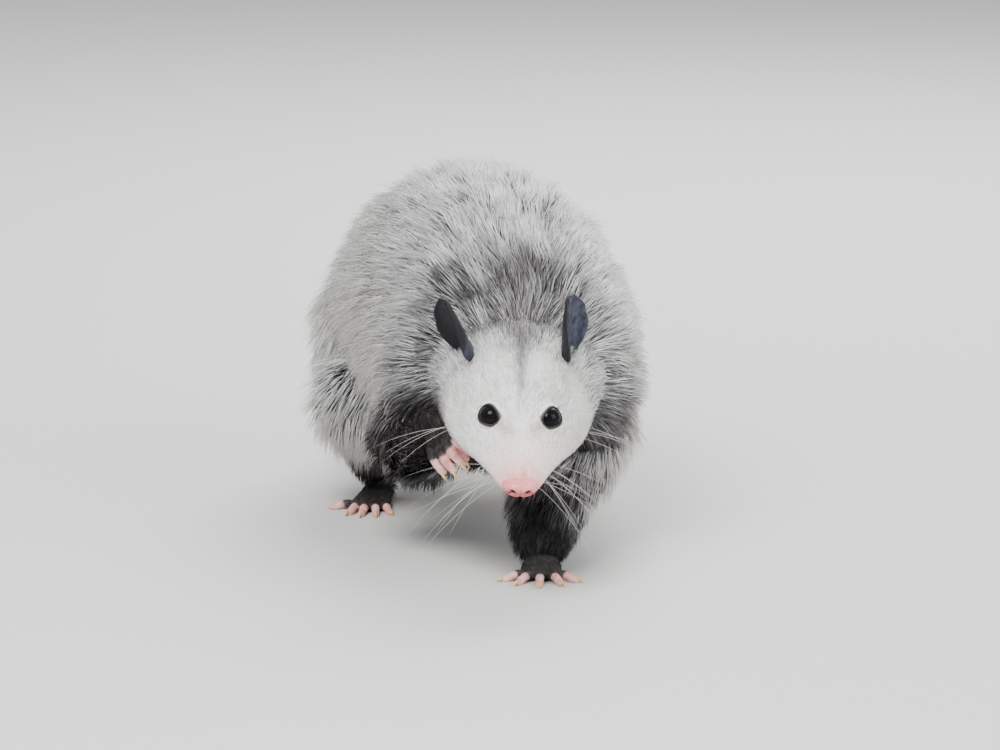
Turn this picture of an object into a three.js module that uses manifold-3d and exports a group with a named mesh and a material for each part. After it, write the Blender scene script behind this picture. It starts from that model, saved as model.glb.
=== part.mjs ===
// A Virginia opossum in life size, walking towards -Y with its right forepaw lifted.
//
// Lengths are millimetres and +Z is up. The forms are worked out in a frame whose origin is on the
// floor straight under the tip of the nose, and the finished group is shifted so that the middle
// of its box stands on the part's own origin. The animal's left is +X.

import * as THREE from "three";
import { mergeVertices } from "three/addons/utils/BufferGeometryUtils.js";
import Module from "manifold-3d";

const wasm = await Module();
wasm.setup();
const { Manifold } = wasm;

const vec = (x, y, z) => new THREE.Vector3(x, y, z);
const radians = THREE.MathUtils.degToRad;
const { clamp, lerp } = THREE.MathUtils;

// Driving dimensions
const NOSE_HEIGHT = 62;
const HEAD_LENGTH = 118;
const HEAD_PITCH = radians(24);
const HEAD_YAW = radians(1.2);
const HEAD_ASIDE = 1.2;
const HEAD_ROLL = radians(3);
const EYE_RADIUS = 6.8;
const EYE_SUNK = 3.0;
const EAR_LENGTH = 40;
const EAR_WIDTH = 27;
const EAR_WALL = 1.3;
const CLAW_LENGTH = 5;
const TAIL_FLOOR = 0.4;
const GAP = 0.35;

// The coat is 30 mm deep. A core fills its inner half, and locks lead from there to the tips.
const CORE_DEPTH = 14;
const THIGH_CORE_DEPTH = 10;
const LOCK_LENGTH = 44;
const LOCK_WIDTH = 24;
const LOCK_THICKNESS = 3.2;
const LOCK_SUNK = 5;
// Locks stand in rows across the trunk from the first place along y to the last, and in rings
// round each thigh.
const FIRST_ROW = 84;
const LAST_ROW = 392;
const ROW_STEP = 25;
const LOCK_STEP = 27;
const THIGH_RINGS = [0.2, 0.7];
const THIGH_TURNS = [-70, -25, 20, 65];

// Outlines of the trunk to the tips of its coat: y, middle x, half width, top z, bottom z
const TRUNK_ROWS = [
  [70, 1, 20, 119, 85],
  [84, 1, 37, 131, 70],
  [102, 0, 54, 148, 50],
  [130, -2, 69, 168, 40],
  [175, -8, 74, 185, 42],
  [225, -17, 76, 191, 46],
  [280, -29, 74, 183, 48],
  [325, -37, 66, 166, 55],
  [360, -44, 49, 145, 69],
  [385, -48, 28, 125, 86],
  [396, -50, 7, 112, 104],
];
// A section of the trunk is widest low down, pointed above that and square below.
const WIDEST_SHARE = 0.38;
const POINTED = 1.1;
const SQUARE = 0.76;
const NECK_END = 118;
const CHEST_END = 200;
const LOIN_END = 285;

// Cross sections of the skull and muzzle: distance behind the nose tip, half width, height of the
// upper line, height of the lower line, height at which the section is widest
const HEAD_ROWS = [
  [2, 9.0, 4.2, -6.4, -1.2],
  [8, 11.6, 8.0, -8.8, -2.2],
  [20, 15.8, 12.0, -11.5, -4],
  [34, 22.0, 16.0, -15.0, -6],
  [48, 30.0, 21.5, -19.0, -7],
  [60, 35.0, 26.0, -23.0, -7],
  [74, 38.0, 28.5, -27.0, -6],
  [90, 39.8, 29.5, -29.0, -4],
  [102, 39.0, 26.0, -27.0, -1],
  [112, 32.0, 19.0, -20.0, 1],
  [HEAD_LENGTH, 16.0, 10.0, -9.0, 1],
];
const RIDGED = 1.3;
const JAW_ROWS = [
  [9, 5.5, -7.5, -11.5],
  [20, 9.5, -8.5, -15.5],
  [36, 13.5, -10.5, -20.0],
  [54, 20.0, -13.0, -26.5],
  [72, 27.0, -17.0, -33.0],
  [86, 26.0, -20.0, -35.0],
];

const materials = {
  faceFur: new THREE.MeshStandardMaterial({ color: 0xece9e4, roughness: 0.85 }),
  coat: new THREE.MeshStandardMaterial({ color: 0xa9a9ad, roughness: 0.9 }),
  legFur: new THREE.MeshStandardMaterial({ color: 0x242226, roughness: 0.85 }),
  pinkSkin: new THREE.MeshStandardMaterial({ color: 0xe3b3ae, roughness: 0.55 }),
  noseSkin: new THREE.MeshStandardMaterial({ color: 0xe08a8c, roughness: 0.4 }),
  earSkin: new THREE.MeshStandardMaterial({ color: 0x17171c, roughness: 0.45 }),
  tailSkin: new THREE.MeshStandardMaterial({ color: 0xcbb3a6, roughness: 0.6 }),
  eye: new THREE.MeshStandardMaterial({ color: 0x050507, roughness: 0.05 }),
  claw: new THREE.MeshStandardMaterial({ color: 0xd8c79a, roughness: 0.4 }),
};

// Rows of numbers joined by a Catmull-Rom curve, read at t from 0 (first row) to 1 (last row)
function along(rows, t) {
  const last = rows.length - 1;
  const place = clamp(t, 0, 1) * last;
  const i = Math.min(Math.floor(place), last - 1);
  const f = place - i;
  const row = (k) => rows[clamp(k, 0, last)];
  return rows[0].map((_, c) => {
    const before = row(i - 1)[c];
    const start = row(i)[c];
    const end = row(i + 1)[c];
    const after = row(i + 2)[c];
    const slope = (end - before) / 2;
    const bend = before - 2.5 * start + 2 * end - after / 2;
    const twist = (3 * (start - end) + after - before) / 2;
    return start + f * (slope + f * (bend + f * twist));
  });
}

// The same curve, read where its first number has the value asked for
function atFirst(rows, value) {
  let low = 0;
  let high = 1;
  for (let step = 0; step < 30; step++) {
    const middle = (low + high) / 2;
    if (along(rows, middle)[0] < value) low = middle;
    else high = middle;
  }
  return along(rows, (low + high) / 2);
}

const signedPower = (value, power) => Math.sign(value) * Math.abs(value) ** power;

// A seeded draw from -1 to 1, so that the coat comes out the same each time
let seed = 7;
function draw() {
  seed = (seed * 16807) % 2147483647;
  return (seed / 2147483647) * 2 - 1;
}

// A closed solid from points and triangles, turned so that its faces point outwards
function closedSolid(points, faces) {
  const vertProperties = Float32Array.from(points.flatMap((p) => [p.x, p.y, p.z]));
  const make = (triVerts) => new Manifold(new wasm.Mesh({ numProp: 3, vertProperties, triVerts }));
  const solid = make(Uint32Array.from(faces));
  return solid.volume() > 0 ? solid : make(Uint32Array.from(faces.reverse()));
}

// A skin over a stack of rings with equal numbers of points, closed by a fan at each end
function loft(rings) {
  const sides = rings[0].length;
  const points = rings.flat();
  const faces = [];
  for (let r = 0; r < rings.length - 1; r++) {
    for (let s = 0; s < sides; s++) {
      const a = r * sides + s;
      const b = r * sides + ((s + 1) % sides);
      faces.push(a, b, b + sides, a, b + sides, a + sides);
    }
  }
  const middle = (ring) => ring.reduce((sum, p) => sum.add(p), vec(0, 0, 0)).divideScalar(sides);
  const firstMiddle = points.push(middle(rings[0])) - 1;
  const lastMiddle = points.push(middle(rings.at(-1))) - 1;
  const lastRing = (rings.length - 1) * sides;
  for (let s = 0; s < sides; s++) {
    const next = (s + 1) % sides;
    faces.push(firstMiddle, next, s, lastMiddle, lastRing + s, lastRing + next);
  }
  return closedSolid(points, faces);
}

// A sphere from three.js as a solid, stretched along its axes and put in place
function ball(middle, [rx, ry, rz], sides = 14, rings = 10) {
  const sphere = new THREE.SphereGeometry(1, sides, rings).scale(rx, ry, rz);
  sphere.translate(middle.x, middle.y, middle.z);
  sphere.deleteAttribute("normal");
  sphere.deleteAttribute("uv");
  const merged = mergeVertices(sphere, 1e-3);
  const place = merged.getAttribute("position");
  const points = Array.from({ length: place.count }, (_, i) => vec(0, 0, 0).fromBufferAttribute(place, i));
  return closedSolid(points, Array.from(merged.index.array));
}

// A bent tube through rows of x, y, z, half width, half thickness. The thickness points along `up`,
// and each end is closed by a dome.
function tube(rows, { rings = 6, sides = 10, up = vec(0, 0, 1), grow = 0, domes = [2, 2], from = 0, to = 1 }) {
  const at = (t) => vec(...along(rows, t).slice(0, 3));
  const ring = (t, shift, shrink) => {
    const [x, y, z, width, thickness] = along(rows, t);
    const forward = at(Math.min(t + 0.01, 1)).sub(at(Math.max(t - 0.01, 0))).normalize();
    const side = forward.clone().cross(up).normalize();
    const over = side.clone().cross(forward);
    const reach = (Math.min(width, thickness) + grow) * shift;
    return Array.from({ length: sides }, (_, s) => {
      const angle = (2 * Math.PI * s) / sides;
      return vec(x, y, z)
        .addScaledVector(forward, reach)
        .addScaledVector(side, Math.cos(angle) * (width + grow) * shrink)
        .addScaledVector(over, Math.sin(angle) * (thickness + grow) * shrink);
    });
  };
  const dome = (count) => Array.from({ length: count }, (_, k) => ((k + 1) / (count + 0.5)) * (Math.PI / 2));
  const stack = [
    ...dome(domes[0]).toReversed().map((a) => ring(from, -Math.sin(a), Math.cos(a))),
    ...Array.from({ length: rings }, (_, r) => ring(lerp(from, to, r / (rings - 1)), 0, 1)),
    ...dome(domes[1]).map((a) => ring(to, Math.sin(a), Math.cos(a))),
  ];
  return loft(stack);
}

// A box between two heights, or two places along y, that reaches past the animal on its other sides
const REACH = 2000;
function slab(axis, low, high) {
  const size = [REACH, REACH, REACH];
  const middle = [0, 0, 0];
  size[axis] = high - low;
  middle[axis] = (low + high) / 2;
  const box = new THREE.BoxGeometry(...size).translate(...middle);
  box.deleteAttribute("normal");
  box.deleteAttribute("uv");
  const merged = mergeVertices(box, 1e-3);
  const place = merged.getAttribute("position");
  const points = Array.from({ length: place.count }, (_, i) => vec(0, 0, 0).fromBufferAttribute(place, i));
  return closedSolid(points, Array.from(merged.index.array));
}
const ABOVE_FLOOR = slab(2, 0, REACH);
const between = (low, high) => slab(1, low, high);

// A node keeps its largest closed body, which drops scraps left by a cut.
function largest(solid) {
  return solid.decompose().reduce((best, body) => (body.volume() > best.volume() ? body : best));
}

// Every node's solid, and the same form GAP thicker, which keeps its neighbours clear of it
const solids = {};
const swollen = {};
function make(name, pieces, clear = []) {
  const whole = Manifold.union(pieces(0));
  solids[name] = largest(clear.reduce((solid, other) => solid.subtract(swollen[other]), whole));
  swollen[name] = Manifold.union(pieces(GAP));
}

// Head: its own frame has the nose tip at the origin, +Y to the back of the skull and +Z up.
const headPlace = new THREE.Matrix4()
  .makeTranslation(HEAD_ASIDE, 0, NOSE_HEIGHT)
  .multiply(new THREE.Matrix4().makeRotationZ(HEAD_YAW))
  .multiply(new THREE.Matrix4().makeRotationX(HEAD_PITCH))
  .multiply(new THREE.Matrix4().makeRotationY(HEAD_ROLL));
const onHead = (x, y, z) => vec(x, y, z).applyMatrix4(headPlace);

// A section of the head: an oval of two different halves about the height where it is widest
function headPoint(back, angle, grow = 0) {
  const [, width, top, bottom, wide] = atFirst(HEAD_ROWS, back);
  const above = Math.sin(angle) > 0;
  const rise = above ? top - wide : wide - bottom;
  const power = above ? RIDGED : 1;
  const x = signedPower(Math.cos(angle), power) * (width + grow);
  const z = wide + signedPower(Math.sin(angle), power) * (rise + grow);
  const brow = above ? 1.6 * Math.exp(-(((back - 53) / 7) ** 2) - (((Math.abs(x) - 14) / 6) ** 2)) : 0;
  return vec(x, back, z + brow);
}
const HEAD_SIDES = 24;
function headLoft(grow) {
  const stations = [2, 5, 9, 14, 21, 29, 37, 44, 51, 59, 69, 80, 91, 101, 109, 115, 117.5];
  const rings = stations.map((back, i) => {
    const shift = i === 0 ? -grow : i === stations.length - 1 ? grow : 0;
    return Array.from({ length: HEAD_SIDES }, (_, s) => {
      const p = headPoint(back, (2 * Math.PI * s) / HEAD_SIDES, grow);
      return onHead(p.x, p.y + shift, p.z);
    });
  });
  return loft(rings);
}

// Where an eye sits: on the surface of the head, and which way it looks
const EYE_BACK = 43.5;
const EYE_ANGLE = radians(50);
function eyeSeat(side) {
  const angle = side > 0 ? EYE_ANGLE : Math.PI - EYE_ANGLE;
  const here = headPoint(EYE_BACK, angle);
  const around = headPoint(EYE_BACK, angle + 0.05).sub(headPoint(EYE_BACK, angle - 0.05));
  const back = headPoint(EYE_BACK + 2, angle).sub(headPoint(EYE_BACK - 2, angle));
  const out = around.cross(back).normalize();
  if (out.z < 0) out.negate();
  return { middle: here.addScaledVector(out, -EYE_SUNK), out };
}
const sides = { left: 1, right: -1 };
for (const [side, sign] of Object.entries(sides)) {
  const { middle } = eyeSeat(sign);
  const place = onHead(middle.x, middle.y, middle.z);
  make(`eye_${side}`, (grow) => [ball(place, [EYE_RADIUS + grow, EYE_RADIUS + grow, EYE_RADIUS + grow], 12, 9)]);
}

// Lids: a ring of skin round each eye, longer towards the inner corner
const LID_SIDES = 16;
function lidRing(sign, grow) {
  const { middle, out } = eyeSeat(sign);
  const inward = vec(-sign, -0.75, -0.35).projectOnPlane(out).normalize();
  const across = out.clone().cross(inward);
  const rim = Array.from({ length: LID_SIDES }, (_, s) => {
    const angle = (2 * Math.PI * s) / LID_SIDES;
    const stretch = 1 + 0.22 * Math.max(0, Math.cos(angle)) ** 3;
    const direction = inward.clone().multiplyScalar(Math.cos(angle)).addScaledVector(across, Math.sin(angle));
    const lidRadius = (EYE_RADIUS - 0.35) * stretch;
    const middleOfLid = middle.clone().addScaledVector(direction, lidRadius).addScaledVector(out, 2.2);
    return Array.from({ length: 6 }, (_, k) => {
      const turn = (2 * Math.PI * k) / 6;
      const p = middleOfLid
        .clone()
        .addScaledVector(direction, Math.cos(turn) * (1.7 + grow))
        .addScaledVector(out, Math.sin(turn) * (1.3 + grow));
      return onHead(p.x, p.y, p.z);
    });
  });
  return torus(rim);
}

// A closed band: like loft, but the last ring joins the first
function torus(rings) {
  const around = rings[0].length;
  const points = rings.flat();
  const faces = [];
  for (let r = 0; r < rings.length; r++) {
    for (let s = 0; s < around; s++) {
      const a = r * around + s;
      const b = r * around + ((s + 1) % around);
      const c = ((r + 1) % rings.length) * around + s;
      const d = ((r + 1) % rings.length) * around + ((s + 1) % around);
      faces.push(a, b, d, a, d, c);
    }
  }
  return closedSolid(points, faces);
}

// Nose: a bare pad with a groove down its middle and a nostril opening to each side
function noseSolid(grow) {
  const pad = tube(
    [
      [0, 7, -1.0, 7.4, 4.3],
      [0, 2.5, -1.0, 9.0, 4.7],
      [0, -0.8, -1.2, 7.7, 3.8],
    ].map(([x, y, z, w, h]) => [...onHead(x, y, z).toArray(), w, h]),
    { rings: 4, sides: 12, grow },
  );
  if (grow > 0) return pad;
  const cut = [sides.left, sides.right].map((sign) =>
    tube(
      [
        [...onHead(sign * 3.9, -4.5, -0.6).toArray(), 1.5, 1.1],
        [...onHead(sign * 3.6, 0.5, -0.8).toArray(), 1.2, 0.9],
      ],
      { rings: 2, sides: 7, domes: [1, 1] },
    ),
  );
  return pad.subtract(Manifold.union(cut));
}
make("nose", (grow) => [noseSolid(grow)]);
make("head", (grow) => [headLoft(grow), lidRing(1, grow), lidRing(-1, grow)], ["eye_left", "eye_right", "nose"]);

// Lower jaw: narrower than the upper lip, so that the line of the mouth shows under it
function jawLoft(grow) {
  const rings = [9, 14, 22, 32, 44, 56, 68, 78, 86].map((back, i, all) => {
    const [, width, top, bottom] = atFirst(JAW_ROWS, back);
    const shift = i === 0 ? -grow : i === all.length - 1 ? grow : 0;
    return Array.from({ length: 14 }, (_, s) => {
      const angle = (2 * Math.PI * s) / 14;
      const middle = (top + bottom) / 2;
      const z = middle + Math.sin(angle) * ((top - bottom) / 2 + grow);
      return onHead(Math.cos(angle) * (width + grow), back + shift, z);
    });
  });
  return loft(rings);
}
make("jaw", (grow) => [jawLoft(grow)], ["head"]);

// Ears: a thin leaf, rolled into a cup at its root and flatter towards its tip
const EAR_RINGS = 9;
const EAR_HALF = 7;
function earLoft(place, grow) {
  const rings = Array.from({ length: EAR_RINGS }, (_, r) => {
    const t = r / (EAR_RINGS - 1);
    const end = r === 0 ? -grow : r === EAR_RINGS - 1 ? grow : 0;
    const width = (EAR_WIDTH / 2) * Math.sin(Math.PI * (0.17 + 0.77 * t)) ** 0.75;
    const roll = radians(lerp(76, 38, Math.min(1, t * 1.2)));
    const radius = width / Math.sin(Math.min(roll, Math.PI / 2));
    const line = (offset) =>
      Array.from({ length: EAR_HALF }, (_, k) => {
        const a = lerp(-roll, roll, k / (EAR_HALF - 1));
        const reach = radius + offset;
        return vec(Math.sin(a) * reach, (Math.cos(a) - 1) * reach + offset, t * EAR_LENGTH + end);
      });
    const edge = EAR_WALL / 2 + grow;
    return [...line(edge), ...line(-edge).toReversed()].map((p) => p.applyMatrix4(place));
  });
  return loft(rings);
}

// An ear's own frame: +Z along the ear, -Y the way its cup opens, at its root on the head
function earPlace(root, axis, open) {
  const z = vec(...axis).transformDirection(headPlace);
  const y = vec(...open).transformDirection(headPlace).negate().projectOnPlane(z).normalize();
  const x = y.clone().cross(z);
  return new THREE.Matrix4().makeBasis(x, y, z).setPosition(onHead(...root));
}
const earPlaces = {
  left: earPlace([22.5, 94, 14.5], [0.0, -0.1, 1], [0.93, -0.37, 0.05]),
  right: earPlace([-22.5, 94, 14.5], [-0.42, -0.12, 0.9], [-0.87, -0.48, -0.1]),
};
for (const side of Object.keys(sides)) {
  make(`ear_${side}`, (grow) => [earLoft(earPlaces[side], grow)], ["head"]);
}

// Paws: in a paw's own frame +Y runs to the toe tips and +Z is the back of the paw.
function pawPlace(origin, forward, back) {
  const y = vec(...forward).normalize();
  const z = vec(...back).projectOnPlane(y).normalize();
  return new THREE.Matrix4().makeBasis(y.clone().cross(z), y, z).setPosition(vec(...origin));
}
const placed = (place, rows) =>
  rows.map(([x, y, z, ...sizes]) => [...vec(x, y, z).applyMatrix4(place).toArray(), ...sizes]);
const axisOf = (place, column) => vec(0, 0, 0).setFromMatrixColumn(place, column);

// One toe: from its root on the palm out along its angle, with a knuckle, a drop and a tip
function toeRows({ x, y, angle, length, radius, lift = 0, drop = 1.2 }) {
  const outX = Math.sin(radians(angle));
  const outY = Math.cos(radians(angle));
  const at = (share, z, size) => [x + outX * length * share, y + outY * length * share, z, size, size];
  return [
    at(0, lift, radius * 1.15),
    at(0.45, lift + 0.9, radius * 1.05),
    at(0.8, lift - drop * 0.3, radius * 0.98),
    at(1, lift - drop, radius * 0.9),
  ];
}
const toeTube = (place, toe, grow) =>
  tube(placed(place, toeRows(toe)), { rings: 4, sides: 6, domes: [0, 1], grow, up: axisOf(place, 2) });

// A claw grows from the toe's tip and bends down to a blunt point.
function clawTube(place, toe, grow) {
  const rows = toeRows(toe);
  const [tipX, tipY, tipZ] = rows.at(-1);
  const outX = Math.sin(radians(toe.angle));
  const outY = Math.cos(radians(toe.angle));
  const at = (share, down, size) => [
    tipX + outX * CLAW_LENGTH * share,
    tipY + outY * CLAW_LENGTH * share,
    tipZ + 0.9 - down,
    size * 0.8,
    size,
  ];
  const bend = toe.bend ?? 1;
  return tube(
    placed(place, [at(0.05, 0, 1.25), at(0.5, 0.35 * bend, 1.0), at(1, 1.9 * bend, 0.35)]),
    { rings: 3, sides: 4, domes: [0, 1], grow, up: axisOf(place, 2) },
  );
}

const HAND_TOES = {
  spread: [-58, -27, 0, 27, 60],
  roots: [-7.5, -4.5, 0, 4.5, 7.5],
};
const handToes = (spread, roots, { longer = 0, rootY = 9, lifts = [], ...extra } = {}) =>
  spread.map((angle, i) => ({
    x: roots[i],
    y: rootY - Math.abs(roots[i]) * 0.45,
    angle,
    length: [13, 14.5, 15, 14, 12][i] + longer,
    radius: 2.2,
    lift: lifts[i] ?? 0,
    ...extra,
  }));

// Forepaws: the left one is planted, and the right one hangs from a lifted wrist.
const SOLE = 2.2;
const paws = {
  hand_left: {
    place: pawPlace([12, 70, SOLE], [-0.05, -1, 0], [0, 0, 1]),
    palm: [
      [0, -12, 6.5, 7.5, 6.5],
      [0, -4, 3.2, 9.5, 5.2],
      [0, 6, 0.9, 10.5, 3.6],
    ],
    toes: handToes(HAND_TOES.spread, HAND_TOES.roots, { bend: 0.55 }),
  },
  hand_right: {
    place: pawPlace([-40.5, 83, 71.5], [0.4, -0.62, -0.68], [-0.684, -0.717, 0.135]),
    palm: [
      [0, -9, -0.4, 6.8, 5.4],
      [0, -4, 0.2, 8.2, 4.8],
      [0, 1.5, 0.3, 9.6, 3.6],
    ],
    toes: handToes([12, -6, -1, 4, 10], [-6, -7.2, -2.4, 2.4, 7.2], {
      lifts: [-4.5, 0, 0, 0, 0],
      drop: 3,
      longer: 2,
      rootY: 5,
      radius: 2,
    }),
  },
  foot_left: {
    place: pawPlace([15, 262, SOLE], [0.15, -1, 0], [0, 0, 1]),
    palm: [
      [0, -30, 4.5, 6.5, 6.5],
      [0, -14, 2.2, 8.5, 4.8],
      [0, 6, 0.9, 11.0, 3.6],
    ],
    toes: handToes([-82, -16, -2, 12, 28], [-8, -5, -1.2, 3, 7], { bend: 0.55 }),
  },
  foot_right: {
    place: pawPlace([-79, 238, SOLE], [-0.15, -1, 0], [0, 0, 1]),
    palm: [
      [0, -30, 4.5, 6.5, 6.5],
      [0, -14, 2.2, 8.5, 4.8],
      [0, 6, 0.9, 11.0, 3.6],
    ],
    toes: handToes([82, 16, 2, -12, -28], [8, 5, 1.2, -3, -7], { bend: 0.55 }),
  },
};
for (const [name, { place, palm, toes }] of Object.entries(paws)) {
  const onFloor = name !== "hand_right";
  make(name, (grow) => {
    const forms = [
      tube(placed(place, palm), { rings: 4, sides: 9, grow, up: axisOf(place, 2) }),
      ...toes.map((toe) => toeTube(place, toe, grow)),
    ];
    return onFloor ? forms.map((form) => form.intersect(ABOVE_FLOOR)) : forms;
  });
  const isFoot = name.startsWith("foot");
  toes.forEach((toe, i) => {
    if (isFoot && i === 0) return;
    make(`claw_${name}_${i + 1}`, (grow) => [clawTube(place, toe, grow).intersect(ABOVE_FLOOR)], [name]);
  });
}

// Trunk: its outline at a station along y, at `depth` under the tips of the coat
function trunkPoint(station, angle, depth) {
  const [, middle, width, top, bottom] = atFirst(TRUNK_ROWS, station);
  const wide = lerp(bottom, top, WIDEST_SHARE);
  const above = Math.sin(angle) > 0;
  const rise = above ? top - wide : wide - bottom;
  const power = above ? POINTED : SQUARE;
  const inner = (size) => Math.max(size - depth, size * 0.25);
  const x = middle + signedPower(Math.cos(angle), power) * inner(width);
  return vec(x, station, wide + signedPower(Math.sin(angle), power) * inner(rise));
}
const TRUNK_SIDES = 20;
const TRUNK_STATIONS = [72, 80, 90, 103, 120, 142, 166, 194, 226, 258, 290, 318, 342, 362, 378, 393];
function trunkCore(front, back, grow) {
  const rings = TRUNK_STATIONS.map((station, i, all) => {
    const shift = i === 0 ? -grow : i === all.length - 1 ? grow : 0;
    return Array.from({ length: TRUNK_SIDES }, (_, s) =>
      trunkPoint(station, (2 * Math.PI * s) / TRUNK_SIDES, CORE_DEPTH - grow).add(vec(0, shift, 0)),
    );
  });
  return loft(rings).intersect(between(front + GAP / 2 - grow, back - GAP / 2 + grow));
}
const TRUNK_PARTS = {
  neck: [0, NECK_END],
  chest: [NECK_END, CHEST_END],
  loin: [CHEST_END, LOIN_END],
  rump: [LOIN_END, REACH / 2],
};

// A lock of hair: flat, three-cornered and tapered, sunk at its root, bending down along its lie
const LOCK_SHAPE = [
  [0, 0.85, 1.1],
  [0.4, 0.92, 1],
  [0.74, 0.52, 0.7],
];
function lock({ root, lie, out, reach, length, width, side }, grow) {
  const across = lie.clone().cross(out).normalize();
  const run = Math.sqrt(Math.max(length ** 2 - reach ** 2, 1));
  const at = (t) =>
    root
      .clone()
      .addScaledVector(lie, run * t)
      .addScaledVector(out, (reach + LOCK_SUNK) * Math.sin((t * Math.PI) / 2) ** 0.9 - LOCK_SUNK)
      .addScaledVector(across, side * t * t);
  const rings = LOCK_SHAPE.map(([t, wide, thick], i) => {
    const middle = at(t).addScaledVector(lie, i === 0 ? -grow : 0);
    const half = (width / 2) * wide + grow * 6;
    const rise = LOCK_THICKNESS * thick + grow * 2;
    return [
      middle.clone().addScaledVector(across, -half).addScaledVector(out, -grow),
      middle.clone().addScaledVector(across, half).addScaledVector(out, -grow),
      middle.clone().addScaledVector(out, rise),
    ];
  });
  const tip = at(1).addScaledVector(lie, grow * 4).addScaledVector(out, -grow / 2);
  const points = [...rings.flat(), tip];
  const faces = [0, 1, 2];
  rings.slice(0, -1).forEach((_, r) => {
    for (let k = 0; k < 3; k++) {
      const [here, next] = [r * 3 + k, r * 3 + ((k + 1) % 3)];
      faces.push(here, next + 3, next, here, here + 3, next + 3);
    }
  });
  const lastRing = (rings.length - 1) * 3;
  for (let k = 0; k < 3; k++) faces.push(lastRing + k, points.length - 1, lastRing + ((k + 1) % 3));
  return closedSolid(points, faces);
}

// The locks of the trunk, in staggered rows from the head to the tail, each kept with its part
function trunkLocks() {
  const found = Object.fromEntries(Object.keys(TRUNK_PARTS).map((name) => [name, []]));
  const partAt = (y) => Object.keys(TRUNK_PARTS).find((name) => y < TRUNK_PARTS[name][1]);
  for (let row = 0, y = FIRST_ROW; y < LAST_ROW; row++, y += ROW_STEP) {
    const ring = Array.from({ length: 48 }, (_, k) => trunkPoint(y, (2 * Math.PI * k) / 48, CORE_DEPTH));
    const girth = ring.reduce((sum, p, k) => sum + p.distanceTo(ring[(k + 1) % 48]), 0);
    const count = Math.round(girth / LOCK_STEP);
    for (let k = 0; k < count; k++) {
      const angle = (2 * Math.PI * (k + (row % 2) / 2 + 0.04 * draw())) / count;
      const place = y + 2 * draw();
      const root = trunkPoint(place, angle, CORE_DEPTH);
      const around = trunkPoint(place, angle + 0.05, CORE_DEPTH).sub(trunkPoint(place, angle - 0.05, CORE_DEPTH));
      const back = trunkPoint(place + 4, angle, CORE_DEPTH).sub(trunkPoint(place - 4, angle, CORE_DEPTH));
      const out = back.clone().cross(around).normalize();
      if (out.dot(vec(Math.cos(angle), 0, Math.sin(angle))) < 0) out.negate();
      const hang = vec(0, 1, -0.45 * Math.abs(Math.cos(angle))).projectOnPlane(out).normalize();
      found[partAt(place)].push({
        root,
        lie: hang,
        out,
        reach: CORE_DEPTH * (0.95 + 0.08 * draw()),
        length: LOCK_LENGTH * (0.96 + 0.1 * draw()),
        width: LOCK_WIDTH * (1 + 0.08 * draw()),
        side: 3 * draw(),
      });
    }
  }
  return found;
}
const locksOf = trunkLocks();

const HEAD_NODES = ["head", "jaw", "ear_left", "ear_right", "hand_right"];
for (const [name, [front, back]] of Object.entries(TRUNK_PARTS)) {
  make(name, (grow) => [trunkCore(front, back, grow)], name === "neck" ? HEAD_NODES : []);
}

// Legs: x, y, z, half width, half thickness from the body down to the paw
const legs = {
  foreleg_left: {
    tubes: [
      [
        [26, 142, 92, 22, 21],
        [33, 146, 80, 23, 20],
        [35, 148, 68, 22, 19],
      ],
      [
        [34, 146, 66, 24, 20],
        [27, 126, 52, 24.5, 20],
        [17, 104, 34, 21.5, 17],
        [12.5, 85, 16, 15, 12],
      ],
    ],
    clear: ["hand_left", "neck", "chest"],
  },
  foreleg_right: {
    tubes: [
      [
        [-34, 142, 92, 22, 21],
        [-44, 143, 78, 23, 20],
        [-52, 140, 60, 22, 20],
      ],
      [
        [-53, 137, 56, 21, 19],
        [-53, 122, 58, 19, 17],
        [-49, 106, 67, 14.5, 13.5],
        [-43.5, 90, 77, 10.5, 9.5],
      ],
    ],
    clear: ["hand_right", "neck", "chest"],
  },
  shank_left: {
    tubes: [
      [
        [18, 258, 64, 22, 22],
        [17, 276, 44, 18, 17],
        [15, 290, 18, 11, 10.5],
      ],
    ],
    clear: ["foot_left", "loin", "rump"],
  },
  thigh_left: {
    tubes: [
      [
        [6, 306, 104, 36, 38],
        [14, 288, 84, 33, 33],
        [18, 264, 66, 24, 24],
      ],
    ],
    clear: ["shank_left", "loin", "rump"],
  },
  shank_right: {
    tubes: [
      [
        [-82, 238, 62, 22, 22],
        [-82, 256, 44, 18, 17],
        [-79, 268, 18, 11, 10.5],
      ],
    ],
    clear: ["foot_right", "loin", "rump"],
  },
  thigh_right: {
    tubes: [
      [
        [-66, 300, 100, 37, 40],
        [-74, 278, 80, 34, 36],
        [-81, 248, 64, 24, 25],
      ],
    ],
    clear: ["shank_right", "loin", "rump"],
  },
};
const legTube = (rows, grow) => {
  const [start, end] = [rows[0], rows.at(-1)];
  const steep = Math.abs(start[2] - end[2]) > Math.abs(start[1] - end[1]);
  const up = steep ? vec(0, -1, 0.2) : vec(0, 0, 1);
  return tube(rows, { rings: 4, sides: 11, grow, up });
};
for (const [name, { tubes, clear }] of Object.entries(legs)) {
  const depth = name.startsWith("thigh") ? THIGH_CORE_DEPTH : 0;
  make(name, (grow) => tubes.map((rows) => legTube(rows, grow - depth)), clear);
}

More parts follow.
